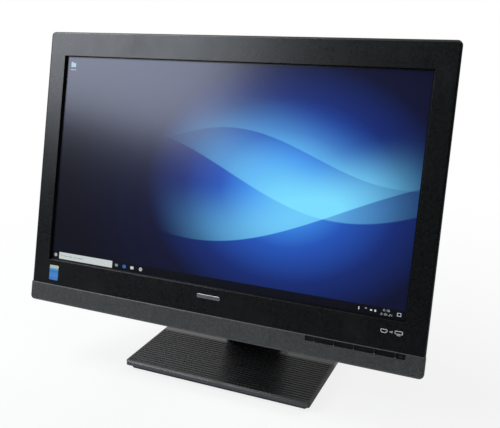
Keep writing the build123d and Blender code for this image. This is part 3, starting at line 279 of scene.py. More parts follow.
class Finish(Wiring):
    """One material: its tree, its Principled shader and the place on the piece."""

    def __init__(self, name, roughness, metallic=0.0):
        self.material = bpy.data.materials.new(name)
        self.material.use_nodes = True
        super().__init__(self.material.node_tree)
        self.shader = self.tree.nodes["Principled BSDF"]
        self.set("Roughness", roughness)
        self.set("Metallic", metallic)
        self.place = self.put("TexCoord").outputs["Object"]

    def set(self, socket, value):
        self.feed(self.shader.inputs[socket], value)

    def effect(self, group, **inputs):
        """One of the shared effects, placed with this finish's own values."""
        node = self.put("Group", node_tree=group)
        self.feed(node.inputs["Place"], self.place)
        for label, value in inputs.items():
            self.feed(node.inputs[label.replace("_", " ")], value)
        return node.outputs

    def spot(self):
        """Share of the way across the piece's own box, as X, Y and Z."""
        return self.parts(self.put("TexCoord").outputs["Generated"])

    def relief(self, height, depth, normal=None):
        """Normal of a surface that rises by the height times the depth."""
        node = self.put("Bump", {"Height": height, "Distance": depth})
        if normal is not None:
            self.feed(node.inputs["Normal"], normal)
        return node.outputs["Normal"]

    def bump(self, height, depth, normal=None):
        self.set("Normal", self.relief(height, depth, normal))


def moulded(name, colour, roughness, grain_size=0.5 * mm, relief=0.03 * mm, gloss_change=0.12,
            dust=0.25, cloudy=0.3, wear=0.3, shaped=None, painted_shading=None, polished=None):
    """Moulded plastic: grain, flecks, clouds, smudges, dust and rubbed edges.

    shaped adds a larger relief, the painted mask a painted shade or painted highlight in a second
    colour, and polished a smoother skin, each over a part of the piece.
    """
    finish = Finish(name, roughness)
    grain = finish.effect(moulded_grain, Grain_Size=grain_size)
    marks = finish.effect(handling)
    edges = finish.effect(edge_wear, Width=0.7 * mm)
    fleck_colour = shade(colour, 0.72)
    cloud_colour = shade(colour, 1.9, 0.002)
    worn_colour = shade(colour, 2.2, 0.008)
    dust_colour = rgb(0.30, 0.29, 0.27)
    tone = finish.mix(grain["Fleck"], colour, fleck_colour)
    tone = finish.mix(finish.multiply(grain["Mottle"], cloudy), tone, cloud_colour)
    tone = finish.mix(finish.multiply(edges["Wear"], wear), tone, worn_colour)
    tone = finish.mix(finish.multiply(marks["Dust"], dust), tone, dust_colour)
    if painted_shading:
        # Painted shade or painted highlight: a second colour over part of the piece that stands in
        # for light.
        where, painted_shading_colour = painted_shading(finish)
        tone = finish.mix(where, tone, painted_shading_colour)
    if polished:
        finish.set("Coat Weight", polished(finish))
        finish.set("Coat Roughness", 0.14)
    finish.set("Base Color", tone)
    clean, touched = roughness - gloss_change / 2, roughness + gloss_change
    smudged = finish.mix_value(marks["Smudge"], clean, touched)
    clouded = finish.maths("MULTIPLY_ADD", grain["Mottle"], gloss_change * cloudy, smudged)
    finish.set("Roughness", clouded)
    normal = shaped(finish, edges["Normal"]) if shaped else edges["Normal"]
    finish.bump(grain["Height"], relief, normal)
    return finish.material


def plated(name, colour, roughness, pitch=0.4 * mm, relief=0.012 * mm):
    """Rolled or plated metal: brushed lines, clouded tone and bright edges."""
    finish = Finish(name, roughness, metallic=1.0)
    lines = finish.effect(brushed_sheet, Pitch=pitch)
    edges = finish.effect(edge_wear, Width=0.4 * mm)
    tone = finish.mix(lines["Tone"], shade(colour, 0.62), colour)
    worn = finish.multiply(edges["Wear"], 0.6)
    finish.set("Base Color", finish.mix(worn, tone, shade(colour, 1.25)))
    finish.set("Roughness", finish.mix_value(lines["Tone"], roughness + 0.1, roughness - 0.06))
    finish.bump(lines["Height"], relief, edges["Normal"])
    return finish.material


def head_part(finish, axis):
    """Distance along one axis of the head's frame."""
    way = head_frame.col[axis].to_3d()
    return finish.subtract(finish.dot(finish.place, way), head_frame.translation.dot(way))


# ---- finishes of the head and the stand
def key_row_painted_shade(finish):
    """Painted shade: the key row's recess, between and around the keys, painted black."""
    edge = 0.1 * mm
    within = finish.between(head_part(finish, z_axis), key_row_low, key_row_high, edge)
    along = finish.between(head_part(finish, x_axis), key_row_left, key_row_right, edge)
    return finish.multiply(within, along), rgb(0.006, 0.0062, 0.0065)


def rounded_ribs(finish, normal):
    """Rounds the lands between the deck's grooves, so that each rib has its own line of light."""
    rib_rise, margin, edge = 0.5 * mm, 0.5, 0.1
    y = finish.parts(finish.place)["Y"]
    along = finish.maths("DIVIDE", finish.subtract(y, first_groove), rib_pitch)
    wave = finish.maths("COSINE", finish.multiply(along, full_turn))
    crest = finish.maths("MULTIPLY_ADD", wave, -0.5, 0.5)
    within = finish.between(along, -margin, rib_count - margin, edge)
    return finish.relief(finish.multiply(crest, within), rib_rise, normal)


def deck_front_painted_light(finish):
    """Painted light: the slab's upright front, painted lighter than its deck where light falls."""
    face_end, edge = 0.6 * mm, 0.3 * mm
    y = finish.parts(finish.place)["Y"]
    where = finish.smooth(y, deck_front + face_end + edge, deck_front + face_end - edge)
    return where, rgb(0.042, 0.045, 0.053)


def deck_rear_strip(finish):
    """The smooth strip behind the ribs."""
    edge = 1.5 * mm
    y = finish.parts(finish.place)["Y"]
    return finish.smooth(y, last_groove, last_groove + edge)


def deck_finish():
    # The slab's front gets a painted highlight, and its rear strip a smoother coat.
    return moulded("deck_ribbed_satin_black", rgb(0.0042, 0.0045, 0.0050), 0.28,
                   grain_size=0.4 * mm, relief=0.008 * mm, gloss_change=0.06, dust=0.004,
                   cloudy=0.5, shaped=rounded_ribs, painted_shading=deck_front_painted_light,
                   polished=deck_rear_strip)


def chin_finish():
    # The key row gets painted shade in its recess.
    return moulded("chin_satin_charcoal", rgb(0.037, 0.0395, 0.039), 0.45, grain_size=0.6 * mm,
                   relief=0.04 * mm, dust=0.05, cloudy=0.5, painted_shading=key_row_painted_shade)


def bezel_finish():
    return moulded("bezel_grained_black", rgb(0.0040, 0.0046, 0.0048), 0.30, grain_size=0.7 * mm,
                   relief=0.022 * mm, gloss_change=0.06, dust=0.03, cloudy=0.5)


def printed(name, colour):
    """Matt ink of a printed mark."""
    return moulded(name, colour, 0.5, grain_size=0.2 * mm, relief=0.004 * mm, gloss_change=0.05,
                   dust=0.0, cloudy=0.2)


def screw_finish():
    return plated("screw_black_oxide", rgb(0.06, 0.06, 0.062), 0.38, pitch=0.2 * mm,
                  relief=0.006 * mm)


def usb_socket_finish(name, axis, middles):
    """Nickel shell with a black tongue at each middle along one axis of the head's frame."""
    shell_roughness, tongue_roughness, edge = 0.24, 0.5, 0.15 * mm
    finish = Finish(name, shell_roughness, metallic=1.0)
    lines = finish.effect(brushed_sheet, Pitch=0.3 * mm)
    edges = finish.effect(edge_wear, Width=0.3 * mm)
    depth = finish.maths("ABSOLUTE", finish.subtract(head_part(finish, y_axis), tongue_middle))
    near = None
    for middle in middles:
        away = finish.maths("ABSOLUTE", finish.subtract(head_part(finish, axis), middle))
        near = away if near is None else finish.maths("MINIMUM", near, away)
    in_depth = finish.smooth(depth, tongue_half + 2 * edge, tongue_half + edge)
    in_reach = finish.smooth(near, tongue_reach + 0.1 * mm, tongue_reach - 0.1 * mm)
    tongue = finish.multiply(in_depth, in_reach)
    nickel = finish.mix(lines["Tone"], rgb(0.42, 0.41, 0.39), rgb(0.68, 0.67, 0.64))
    finish.set("Base Color", finish.mix(tongue, nickel, rgb(0.012, 0.012, 0.013)))
    finish.set("Metallic", finish.subtract(1.0, tongue))
    finish.set("Roughness", finish.mix_value(tongue, shell_roughness, tongue_roughness))
    finish.bump(lines["Height"], 0.006 * mm, edges["Normal"])
    return finish.material


def guide_finish():
    """Clear acrylic sheet with its printed light dots."""
    finish = Finish("light_guide_acrylic", 0.12)
    dots = finish.cells(finish.place, scale=450.0, randomness=0.1)
    mask = finish.smooth(dots, low=0.42, high=0.3)
    finish.set("Base Color", finish.mix(mask, rgb(0.82, 0.84, 0.86), grey(0.95)))
    finish.set("Roughness", finish.mix_value(mask, 0.1, 0.6))
    finish.set("Coat Weight", 0.4)
    return finish.material


def board_finish():
    """Green solder mask over etched tracks and tinned pads."""
    finish = Finish("circuit_board_green", 0.35)
    track_stretch = (150.0, 1.0, 150.0)
    rows = {"Vector": finish.stretch(finish.place, track_stretch), "Scale": 1.0,
            "Mortar Size": 0.035, "Brick Width": 0.9, "Row Height": 0.16}
    tracks = finish.put("TexBrick", rows).outputs["Fac"]
    dots = finish.cells(finish.place, scale=300.0, randomness=0.6)
    pad = finish.smooth(dots, low=0.16, high=0.12)
    green = finish.mix(tracks, rgb(0.010, 0.075, 0.035), rgb(0.022, 0.15, 0.07))
    finish.set("Base Color", finish.mix(pad, green, rgb(0.62, 0.6, 0.52)))
    finish.set("Metallic", pad)
    finish.set("Roughness", finish.mix_value(pad, 0.32, 0.25))
    finish.bump(finish.add(tracks, pad), 0.04 * mm)
    return finish.material


def glass_finish():
    """Black edge of the display module round the lit picture."""
    finish = Finish("display_black_border", 0.31)
    marks = finish.effect(handling)
    grain = finish.effect(moulded_grain, Grain_Size=0.1 * mm)
    tone = finish.mix(grain["Fleck"], rgb(0.004, 0.004, 0.005), rgb(0.003, 0.003, 0.004))
    finish.set("Base Color", tone)
    finish.set("Roughness", finish.mix_value(marks["Smudge"], 0.29, 0.34))
    finish.bump(grain["Height"], 0.003 * mm)
    return finish.material


def ribbon(finish, across, up, rise, swing, bend, start, soft, sharp):
    """A sheet of light that starts sharply at a curve and fades on its far side."""
    wave = finish.maths("SINE", finish.maths("MULTIPLY_ADD", across, bend, start))
    curve = finish.maths("MULTIPLY_ADD", wave, swing, rise)
    above = finish.subtract(up, curve)
    return finish.multiply(finish.smooth(above, -sharp, sharp), finish.smooth(above, soft, 0.0))


# Colours of the glow, from its middle outwards.
glow_stops = ((0.0, rgb(0.10, 0.48, 0.90)), (0.13, rgb(0.045, 0.26, 0.82)),
              (0.25, rgb(0.016, 0.085, 0.46)), (0.40, rgb(0.006, 0.022, 0.16)),
              (0.56, rgb(0.0020, 0.0036, 0.024)), (0.90, rgb(0.0008, 0.0010, 0.004)))


def glow_reach(finish, across, up):
    """Distance from the middle of the glow, with the picture's width and height made alike."""
    middle_across, middle_up, widening = 0.68, 0.47, 1.42
    run = finish.multiply(finish.subtract(across, middle_across), widening)
    climb = finish.subtract(up, middle_up)
    square = finish.add(finish.multiply(run, run), finish.multiply(climb, climb))
    return finish.maths("SQRT", square)


def picture_finish():
    """Lit display: a blue glow with folded sheets of light, behind a fine matt front."""
    finish = Finish("display_lit_picture", 0.20)
    spot = finish.spot()
    across, up = spot["X"], spot["Z"]
    reach = glow_reach(finish, across, up)
    glow = finish.ramp(reach, glow_stops)
    first = ribbon(finish, across, up, rise=0.52, swing=0.16, bend=5.2, start=0.4, soft=0.34,
                   sharp=0.004)
    second = ribbon(finish, across, up, rise=0.40, swing=0.20, bend=4.1, start=2.9, soft=0.28,
                    sharp=0.003)
    third = ribbon(finish, across, up, rise=0.62, swing=0.10, bend=7.0, start=4.2, soft=0.22,
                   sharp=0.003)
    sheets = finish.add(finish.multiply(first, 0.55), finish.multiply(second, 0.8))
    sheets = finish.add(sheets, finish.multiply(third, 0.4))
    near = finish.smooth(reach, low=0.56, high=0.05)
    lit = finish.mix(finish.multiply(sheets, near), glow, rgb(0.20, 0.72, 1.0))
    task_bar = finish.multiply(finish.smooth(up, low=0.038, high=0.036), 0.97)
    finish.set("Base Color", rgb(0.006, 0.006, 0.009))
    finish.set("IOR", 1.6)
    finish.set("Specular Tint", rgb(0.80, 0.83, 1.0))
    finish.set("Emission Color", finish.mix(task_bar, lit, rgb(0.0010, 0.0012, 0.0016)))
    finish.set("Emission Strength", 1.0)
    front = finish.effect(moulded_grain, Grain_Size=0.12 * mm)
    finish.bump(front["Height"], 0.003 * mm)
    return finish.material


def glowing(name, colour):
    """Lit mark on the display, with a slightly uneven panel light behind it."""
    finish = Finish(name, 0.36)
    unevenness = finish.noise(finish.place, scale=400.0)
    finish.set("Base Color", grey(0.01))
    finish.set("Emission Color", finish.mix(unevenness, colour, shade(colour, 0.8)))
    finish.set("Emission Strength", 1.0)
    return finish.material


def sticker_finish():
    """Printed foil label: pale head over a blue field."""
    finish = Finish("label_blue_foil", 0.32)
    up = finish.spot()["Z"]
    field = finish.ramp(up, [(0.0, rgb(0.03, 0.15, 0.48)), (0.35, rgb(0.06, 0.24, 0.56)),
                             (0.62, rgb(0.03, 0.16, 0.46)), (0.76, rgb(0.10, 0.32, 0.56))])
    head = finish.smooth(up, low=0.79, high=0.81)
    finish.set("Base Color", finish.mix(head, field, rgb(0.44, 0.50, 0.42)))
    finish.set("Roughness", finish.mix_value(finish.noise(finish.place, scale=300.0), 0.25, 0.4))
    finish.set("Coat Weight", 0.5)
    return finish.material


# ---- pieces
def add_piece(name, mesh_maker, material, body, place=head_frame):
    """A new piece from a mesh builder, set down in its frame and tied to its body."""
    mesh = bpy.data.meshes.new(name)
    shape = bmesh.new()
    mesh_maker(shape)
    shape.transform(place)
    bmesh.ops.recalc_face_normals(shape, faces=shape.faces)
    shape.to_mesh(mesh)
    shape.free()
    piece = bpy.data.objects.new(name, mesh)
    bpy.context.scene.collection.objects.link(piece)
    piece.data.materials.append(material)
    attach(piece, body)
    return piece


def join_rings(shape, first, second, count):
    """Side faces between two rings of points, over this many steps."""
    for step in range(count):
        following = (step + 1) % len(first)
        shape.faces.new((first[step], first[following], second[following], second[step]))


def rounded_outline(width, height, corner, steps=5):
    """Points round a round-cornered rectangle about its middle, as (x, z)."""
    points = []
    for turn, (side, end) in enumerate(((1, 1), (-1, 1), (-1, -1), (1, -1))):
        for step in range(steps + 1):
            angle = math.pi / 2 * (turn + step / steps)
            x = side * (width / 2 - corner) + corner * math.cos(angle)
            z = end * (height / 2 - corner) + corner * math.sin(angle)
            points.append((x, z))
    return points


def plate(width, height, corner, front, back, x=0.0, z=0.0, edge=0.0):
    """Builder of a thin round-cornered plate that faces the user, with its front edge eased."""
    smallest_corner = 0.2 * corner

    def make(shape):
        rings = [(back, 0.0), (front + edge, 0.0)] + ([(front, edge)] if edge else [])
        loops = []
        for y, inset in rings:
            inset_corner = max(corner - inset, smallest_corner)
            outline = rounded_outline(width - 2 * inset, height - 2 * inset, inset_corner)
            loops.append([shape.verts.new((x + point_x, y, z + point_z))
                          for point_x, point_z in outline])
        for low, high in zip(loops, loops[1:]):
            join_rings(shape, low, high, len(low))
        shape.faces.new(loops[0])
        shape.faces.new(list(reversed(loops[-1])))
    return make


def hoop(outer, inner, front, back, x, z, start=0.0, sweep=full_turn, steps=20):
    """Builder of a flat ring, or of the part of one from a start angle through a sweep."""
    def make(shape):
        closed = sweep >= full_turn
        points = steps if closed else steps + 1
        turns = [start + sweep * step / steps for step in range(points)]
        rounds = [(math.cos(turn), math.sin(turn)) for turn in turns]
        loops = []
        for radius, y in ((outer, front), (outer, back), (inner, back), (inner, front)):
            loops.append([shape.verts.new((x + radius * across, y, z + radius * up))
                          for across, up in rounds])
        for first, second in zip(loops, loops[1:] + loops[:1]):
            join_rings(shape, first, second, steps)
        if not closed:
            shape.faces.new([loop[0] for loop in loops])
            shape.faces.new([loop[-1] for loop in reversed(loops)])
    return make


def several(makers):
    """Builder that makes all of several shapes in one mesh."""
    def make(shape):
        for maker in makers:
            maker(shape)
    return make


# ---- the lit picture and the marks on it
bar_height = 10.6 * mm
bar_middle = -half_height + bar_height / 2
search_left, search_right = -242.6 * mm, -151.6 * mm
start_mark_x = -248.6 * mm


def mark(width, height, x, z, corner=0.3 * mm):
    return plate(width, height, corner, mark_front, picture_front, x, z)


def ring_mark(outer, inner, x, z, **part):
    return hoop(outer, inner, mark_front, picture_front, x, z, **part)


def bar_marks(*rows):
    """Marks on the task bar: width, height, x, rise over the bar's middle and corner, in mm."""
    return [mark(width * mm, height * mm, x * mm, bar_middle + rise * mm, corner * mm)
            for width, height, x, rise, corner in rows]


def digit(number, x, z):
    """One plain number built from separate bars: top, sides, middle and foot."""
    width, height, stroke, corner = 1.2 * mm, 2.2 * mm, 0.32 * mm, 0.08 * mm
    gap = 1.2 * stroke
    level_bars = "agd"
    bars = ("abcdef", "bc", "abged", "abgcd", "fgbc", "afgcd", "afgedc", "abc", "abcdefg", "abcdfg")
    side, half = width / 2, height / 2
    spots = {"a": (0, half), "g": (0, 0), "d": (0, -half), "f": (-side, half / 2),
             "b": (side, half / 2), "e": (-side, -half / 2), "c": (side, -half / 2)}
    made = []
    for bar in bars[number]:
        across, rise = spots[bar]
        size = (width - gap, stroke) if bar in level_bars else (stroke, half - gap)
        made.append(mark(*size, x + across, z + rise, corner))
    return made


def number_row(text, x, z):
    """A short row of numbers, with two dots for a colon and one for a stop."""
    pitch, dot, corner = 1.9 * mm, 0.4 * mm, 0.15 * mm
    colon_rises, stop_rises = (-0.6 * mm, 0.6 * mm), (-1.0 * mm,)
    made = []
    for step, letter in enumerate(text):
        place_x = x + step * pitch
        if letter.isdigit():
            made += digit(int(letter), place_x, z)
        else:
            rises = colon_rises if letter == ":" else stop_rises
            made += [mark(dot, dot, place_x, z + rise, corner) for rise in rises]
    return made


def search_hint():
    """Pale strokes in the search field, after a small ring."""
    height, corner, front = 0.8 * mm, 0.2 * mm, mark_front - print_thickness
    strokes = ((11, 6), (19, 7), (28, 5), (37, 9))
    made = [plate(length * mm, height, corner, front, mark_front, search_left + start * mm,
                  bar_middle) for start, length in strokes]
    ring_x, ring_z = search_left + 4.5 * mm, bar_middle + 0.4 * mm
    made.append(hoop(1.3 * mm, 0.9 * mm, front, mark_front, ring_x, ring_z))
    return made


def program_marks():
    """Plain marks of an open program and of a ring beside it."""
    ring_x = -105.4 * mm
    return [*bar_marks((5.0, 3.8, -119.2, 0.0, 0.4)),
            ring_mark(2.5 * mm, 1.5 * mm, ring_x, bar_middle),
            mark(0.9 * mm, 2.6 * mm, ring_x, bar_middle)]


def status_marks():
    """Signs, a time over a date, and a small frame at the bar's right end."""
    line_rise = 2.4 * mm
    made = bar_marks((1.2, 3.6, 199.5, 0.0, 0.3))
    made.append(ring_mark(1.7 * mm, 1.1 * mm, 208.0 * mm, bar_middle, start=math.pi / 5,
                          sweep=math.pi * 0.6))
    made += bar_marks((2.6, 1.8, 214.4, 0.0, 0.2), (2.0, 2.6, 219.4, 0.0, 0.3))
    made += number_row("10:30", 228.0 * mm, bar_middle + line_rise)
    made += number_row("12.04.24", 225.4 * mm, bar_middle - line_rise)
    made += bar_marks((4.6, 0.6, 247.6, -1.7, 0.15), (4.6, 0.6, 247.6, 1.7, 0.15),
                      (0.6, 3.4, 245.55, 0.0, 0.15), (0.6, 3.4, 249.65, 0.0, 0.15))
    return made


def lit_piece(name, makers, material):
    add_piece(name, several(makers), material, "head")


def display():
    picture = plate(picture_width, picture_height, 0.2 * mm, picture_front, picture_back)
    add_piece("display_picture", picture, picture_finish(), "head")
    white = glowing("display_mark_white", rgb(0.60, 0.66, 0.65))
    pale = glowing("display_mark_grey", rgb(0.22, 0.25, 0.30))
    blue = glowing("display_mark_blue", rgb(0.03, 0.12, 0.42))
    sky = glowing("display_mark_sky", rgb(0.38, 0.60, 0.72))
    search_field = mark(search_right - search_left, 9.6 * mm, (search_left + search_right) / 2,
                        bar_middle)
    lit_piece("display_search_field", [search_field], white)
    lit_piece("display_search_hint", search_hint(), pale)
    start = [ring_mark(2.3 * mm, 1.3 * mm, start_mark_x, bar_middle),
             mark(1.0 * mm, 1.0 * mm, start_mark_x, bar_middle, 0.45 * mm)]
    lit_piece("display_start_mark", start, white)
    lit_piece("display_bar_frame", bar_marks((4.6, 3.6, -144.6, 0.0, 0.5)), pale)
    lit_piece("display_bar_tile", bar_marks((5.2, 4.6, -131.8, 0.0, 1.2)), blue)
    lit_piece("display_bar_marks", program_marks(), white)
    lit_piece("display_status_marks", status_marks(), white)
    icon_x, icon_z = -half_width + 10.5 * mm, half_height - 9.5 * mm
    folder = [mark(8.0 * mm, 5.6 * mm, icon_x, icon_z - 0.6 * mm, 0.6 * mm),
              mark(3.4 * mm, 1.6 * mm, icon_x - 2.2 * mm, icon_z + 2.9 * mm, 0.4 * mm)]
    lit_piece("display_desktop_folder", folder, sky)
    lit_piece("display_desktop_label", [mark(9.0 * mm, 0.8 * mm, icon_x, icon_z - 7.0 * mm)], white)


# ---- where a node's solids lie
def loose_solids(name, place):
    """Low and high corners of each separate solid of one node, in a frame of its own."""
    shape = bmesh.new()
    shape.from_mesh(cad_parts[name].data)
    shape.transform(place.inverted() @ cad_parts[name].matrix_world)
    bmesh.ops.remove_doubles(shape, verts=shape.verts, dist=0.001 * mm)
    left = set(shape.verts)
    boxes = []
    for start in shape.verts:
        if start not in left:
            continue
        left.discard(start)
        queue = [start]
        low, high = start.co.copy(), start.co.copy()
        while queue:
            vertex = queue.pop()
            for axis in range(3):
                low[axis] = min(low[axis], vertex.co[axis])
                high[axis] = max(high[axis], vertex.co[axis])
            for edge in vertex.link_edges:
                other = edge.other_vert(vertex)
                if other in left:
                    left.discard(other)
                    queue.append(other)
        boxes.append((low, high))
    shape.free()
    return boxes


def head_box(name):
    """Low and high corner of a one-solid node in the head's own frame."""
    return loose_solids(name, head_frame)[0]


# ---- badge, label and printed marks on the front
# Strokes of the port sign, the plug between and the screen sign: width, height, x and z in
# millimetres from the middle of the port sign.
sign_strokes = ((8.2, 0.9, 0.0, 1.9), (5.2, 0.9, 0.0, -1.9), (0.9, 2.8, -3.65, 0.8),
                (0.9, 2.8, 3.65, 0.8), (1.9, 0.9, -2.7, -1.1), (1.9, 0.9, 2.7, -1.1),
                (3.6, 0.9, 8.2, 0.2), (0.9, 2.8, 9.6, 0.2),
                (9.4, 0.9, 17.4, 2.4), (9.4, 0.9, 17.4, -1.0), (0.9, 4.3, 13.1, 0.7),
                (0.9, 4.3, 21.7, 0.7), (4.0, 0.9, 17.4, -2.5))


def badge_and_label():
    badge_finish = plated("badge_satin_metal", rgb(0.62, 0.63, 0.65), 0.3, pitch=0.25 * mm,
                          relief=0.006 * mm)
    badge = plate(width=34.0 * mm, height=5.0 * mm, corner=2.4 * mm, front=bezel_front - 0.6 * mm,
                  back=bezel_front + 0.2 * mm, x=2.5 * mm, z=-157.5 * mm, edge=0.35 * mm)
    add_piece("badge_bar", badge, badge_finish, "head")
    label = plate(width=15.2 * mm, height=21.4 * mm, corner=1.2 * mm,
                  front=bezel_front - 0.12 * mm, back=bezel_front + 0.1 * mm, x=-246.2 * mm,
                  z=-163.5 * mm)
    add_piece("front_label", label, sticker_finish(), "head")


def port_mark():
    sign_x, sign_z, corner = 233.0 * mm, -158.7 * mm, 0.25 * mm
    front, back = bezel_front - print_thickness, bezel_front + print_thickness
    outlines = [plate(width * mm, height * mm, corner, front, back, sign_x + x * mm,
                      sign_z + z * mm) for width, height, x, z in sign_strokes]
    ink = printed("printed_mark_pale_grey", rgb(0.55, 0.56, 0.56))
    add_piece("front_port_mark", several(outlines), ink, "head")


def power_mark():
    """An open ring and a stroke on the power key, which carries them."""
    low, high = head_box("power_key")
    x, z = (low.x + high.x) / 2, (low.z + high.z) / 2
    front, back = low.y - print_thickness, low.y + print_thickness
    power = [hoop(1.5 * mm, 1.15 * mm, front, back, x, z, start=math.radians(125),
                  sweep=math.radians(290)),
             plate(0.35 * mm, 1.6 * mm, 0.12 * mm, front, back, x, z + 1.0 * mm)]
    dim = printed("pressed_mark_dark_grey", rgb(0.055, 0.056, 0.058))
    add_piece("power_key_mark", several(power), dim, "power_key_cap")


def post_dots():
    """A small dot on each post between two keys."""
    size, corner, rise = 1.1 * mm, 0.5 * mm, 0.7 * mm
    front, back = chin_front - print_thickness, chin_front + print_thickness
    keys = sorted((head_box(name) for name in key_names), key=lambda box: box[0].x)
    middles = [(left[1].x + right[0].x) / 2 for left, right in zip(keys, keys[1:])]
    posts = [plate(size, size, corner, front, back, x, key_row_low + rise) for x in middles]
    faint = printed("post_dot_mid_grey", rgb(0.17, 0.175, 0.175))
    add_piece("key_post_dots", several(posts), faint, "head")


# ---- screws, rebuilt with cross recesses
small_screw = {"head_radius": 2.7 * mm, "head_height": 1.8 * mm, "shank_radius": 1.4 * mm,
               "recess": 1.0 * mm}
hinge_screw = {"head_radius": 4.0 * mm, "head_height": 2.4 * mm, "shank_radius": 1.95 * mm,
               "recess": 1.4 * mm}
neck_screw = {"head_radius": 3.5 * mm, "head_height": 2.0 * mm, "shank_radius": 1.95 * mm,
              "recess": 1.2 * mm}
screw_steps = 24


def screw_profile(length, head_radius, head_height, shank_radius):
    """Radius and depth from the tip up to the middle of the domed head."""
    return [(0.3 * shank_radius, -length), (shank_radius, -length + shank_radius),
            (shank_radius, -head_height), (head_radius, -head_height),
            (head_radius, -0.4 * head_height), (0.9 * head_radius, -0.12 * head_height),
            (0.74 * head_radius, 0.0)]


def cross_outline(head_radius):
    """Outline of the cross recess, as (x, z)."""
    arm, thick = 0.52 * head_radius, 0.13 * head_radius
    return [(arm, -thick), (arm, thick), (thick, thick), (thick, arm), (-thick, arm),
            (-thick, thick), (-arm, thick), (-arm, -thick), (-thick, -thick), (-thick, -arm),
            (thick, -arm), (thick, -thick)]


def screw_maker(spots, outward, head_radius, head_height, shank_radius, recess):
    """Builder of cross-head screws; a spot is the middle of a head's face and a screw's length."""
    floor_share = 0.8

    def make(shape):
        turn = Vector((0, 1, 0)).rotation_difference(Vector(outward)).to_matrix().to_4x4()
        angles = [full_turn * step / screw_steps for step in range(screw_steps)]
        rounds = [(math.cos(angle), math.sin(angle)) for angle in angles]
        cross = cross_outline(head_radius)
        for middle, length in spots:
            place = Matrix.Translation(middle) @ turn

            def point(x, y, z):
                return shape.verts.new(place @ Vector((x, y, z)))

            profile = screw_profile(length, head_radius, head_height, shank_radius)
            rings = [[point(radius * across, depth, radius * up) for across, up in rounds]
                     for radius, depth in profile]
            for low, high in zip(rings, rings[1:]):
                join_rings(shape, low, high, screw_steps)
            shape.faces.new(rings[0])
            rim = [point(x, 0.0, z) for x, z in cross]
            floor = [point(floor_share * x, -recess, floor_share * z) for x, z in cross]
            edges = []
            for step in range(len(cross)):
                following = (step + 1) % len(cross)
                edges.append(shape.edges.new((rim[step], rim[following])))
                shape.faces.new((rim[step], rim[following], floor[following], floor[step]))
            shape.faces.new(floor)
            top = rings[-1]
            edges += [shape.edges.get(ends) for ends in zip(top, top[1:] + top[:1])]
            bmesh.ops.triangle_fill(shape, use_beauty=True, edges=edges)
    return make


def replace_screws(node, body, place, axis, outward, sizes):
    """Cross-head screws for a node's plain ones; outward is +1 or -1 along the frame's axis."""
    spots = []
    for low, high in loose_solids(node, place):
        middle = (low + high) / 2
        middle[axis] = high[axis] if outward > 0 else low[axis]
        spots.append((middle, high[axis] - low[axis]))
    direction = [0, 0, 0]
    direction[axis] = outward
    maker = screw_maker(spots, direction, **sizes)
    screws = add_piece("cross_head_" + node, maker, screw_finish(), body, place)
    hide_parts(node)


def all_screws():
    level = Matrix.Identity(4)
    replace_screws("cover_screws", "head", head_frame, y_axis, 1, small_screw)
    replace_screws("hinge_screws", "head", head_frame, y_axis, 1, hinge_screw)
    replace_screws("neck_screws", "neck", level, z_axis, 1, neck_screw)
    replace_screws("base_screws", "base", level, z_axis, -1, small_screw)


# ---- contacts on the tongues of the USB sockets
def contacts():
    gold = plated("contact_gold", rgb(0.80, 0.58, 0.24), 0.25, pitch=0.2 * mm, relief=0.004 * mm)
    length, width, corner, socket_depth = 7.0 * mm, 1.0 * mm, 0.4 * mm, 6.2 * mm
    shifts = (-3.5 * mm, -1.0 * mm, 1.0 * mm, 3.5 * mm)
    front = tongue_middle - tongue_half - 0.1 * mm
    back = front + 0.15 * mm
    strips = []
    for low, high in loose_solids("side_usb_sockets", head_frame):
        middle = (low.z + high.z) / 2
        x = low.x + socket_depth
        strips += [plate(length, width, corner, front, back, x, middle + shift) for shift in shifts]
    z = bay_roof + socket_depth
    for middle in rear_usb_across:
        strips += [plate(width, length, corner, front, back, middle + shift, z) for shift in shifts]
    add_piece("socket_contacts", several(strips), gold, "head")


# ---- what the CAD pieces wear
def dress(material, *names):
    for name in names:
        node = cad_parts[name]
        if not node.material_slots:
            node.data.materials.append(material)
        for holder in node.material_slots:
            holder.material = material


def dress_outside():
    dress(bezel_finish(), "front_bezel")
    dress(chin_finish(), "chin_bar")
    dress(moulded("key_satin_black", rgb(0.003, 0.003, 0.0033), 0.34, grain_size=0.3 * mm,
                  relief=0.01 * mm, dust=0.0),
          *key_names, "eject_button")
    dress(moulded("rear_cover_grained_black", rgb(0.017, 0.0175, 0.0185), 0.52,
                  grain_size=0.8 * mm, relief=0.05 * mm, dust=0.12),
          "rear_cover", "service_door", "disc_tray")
    dress(moulded("stand_column_satin_black", rgb(0.012, 0.0122, 0.013), 0.42,
                  grain_size=0.4 * mm, relief=0.02 * mm, dust=0.08),
          "neck_front_cover", "neck_rear_cover", "hinge_shroud")
    dress(deck_finish(), "base_cover")
    dress(glass_finish(), "lcd_glass")


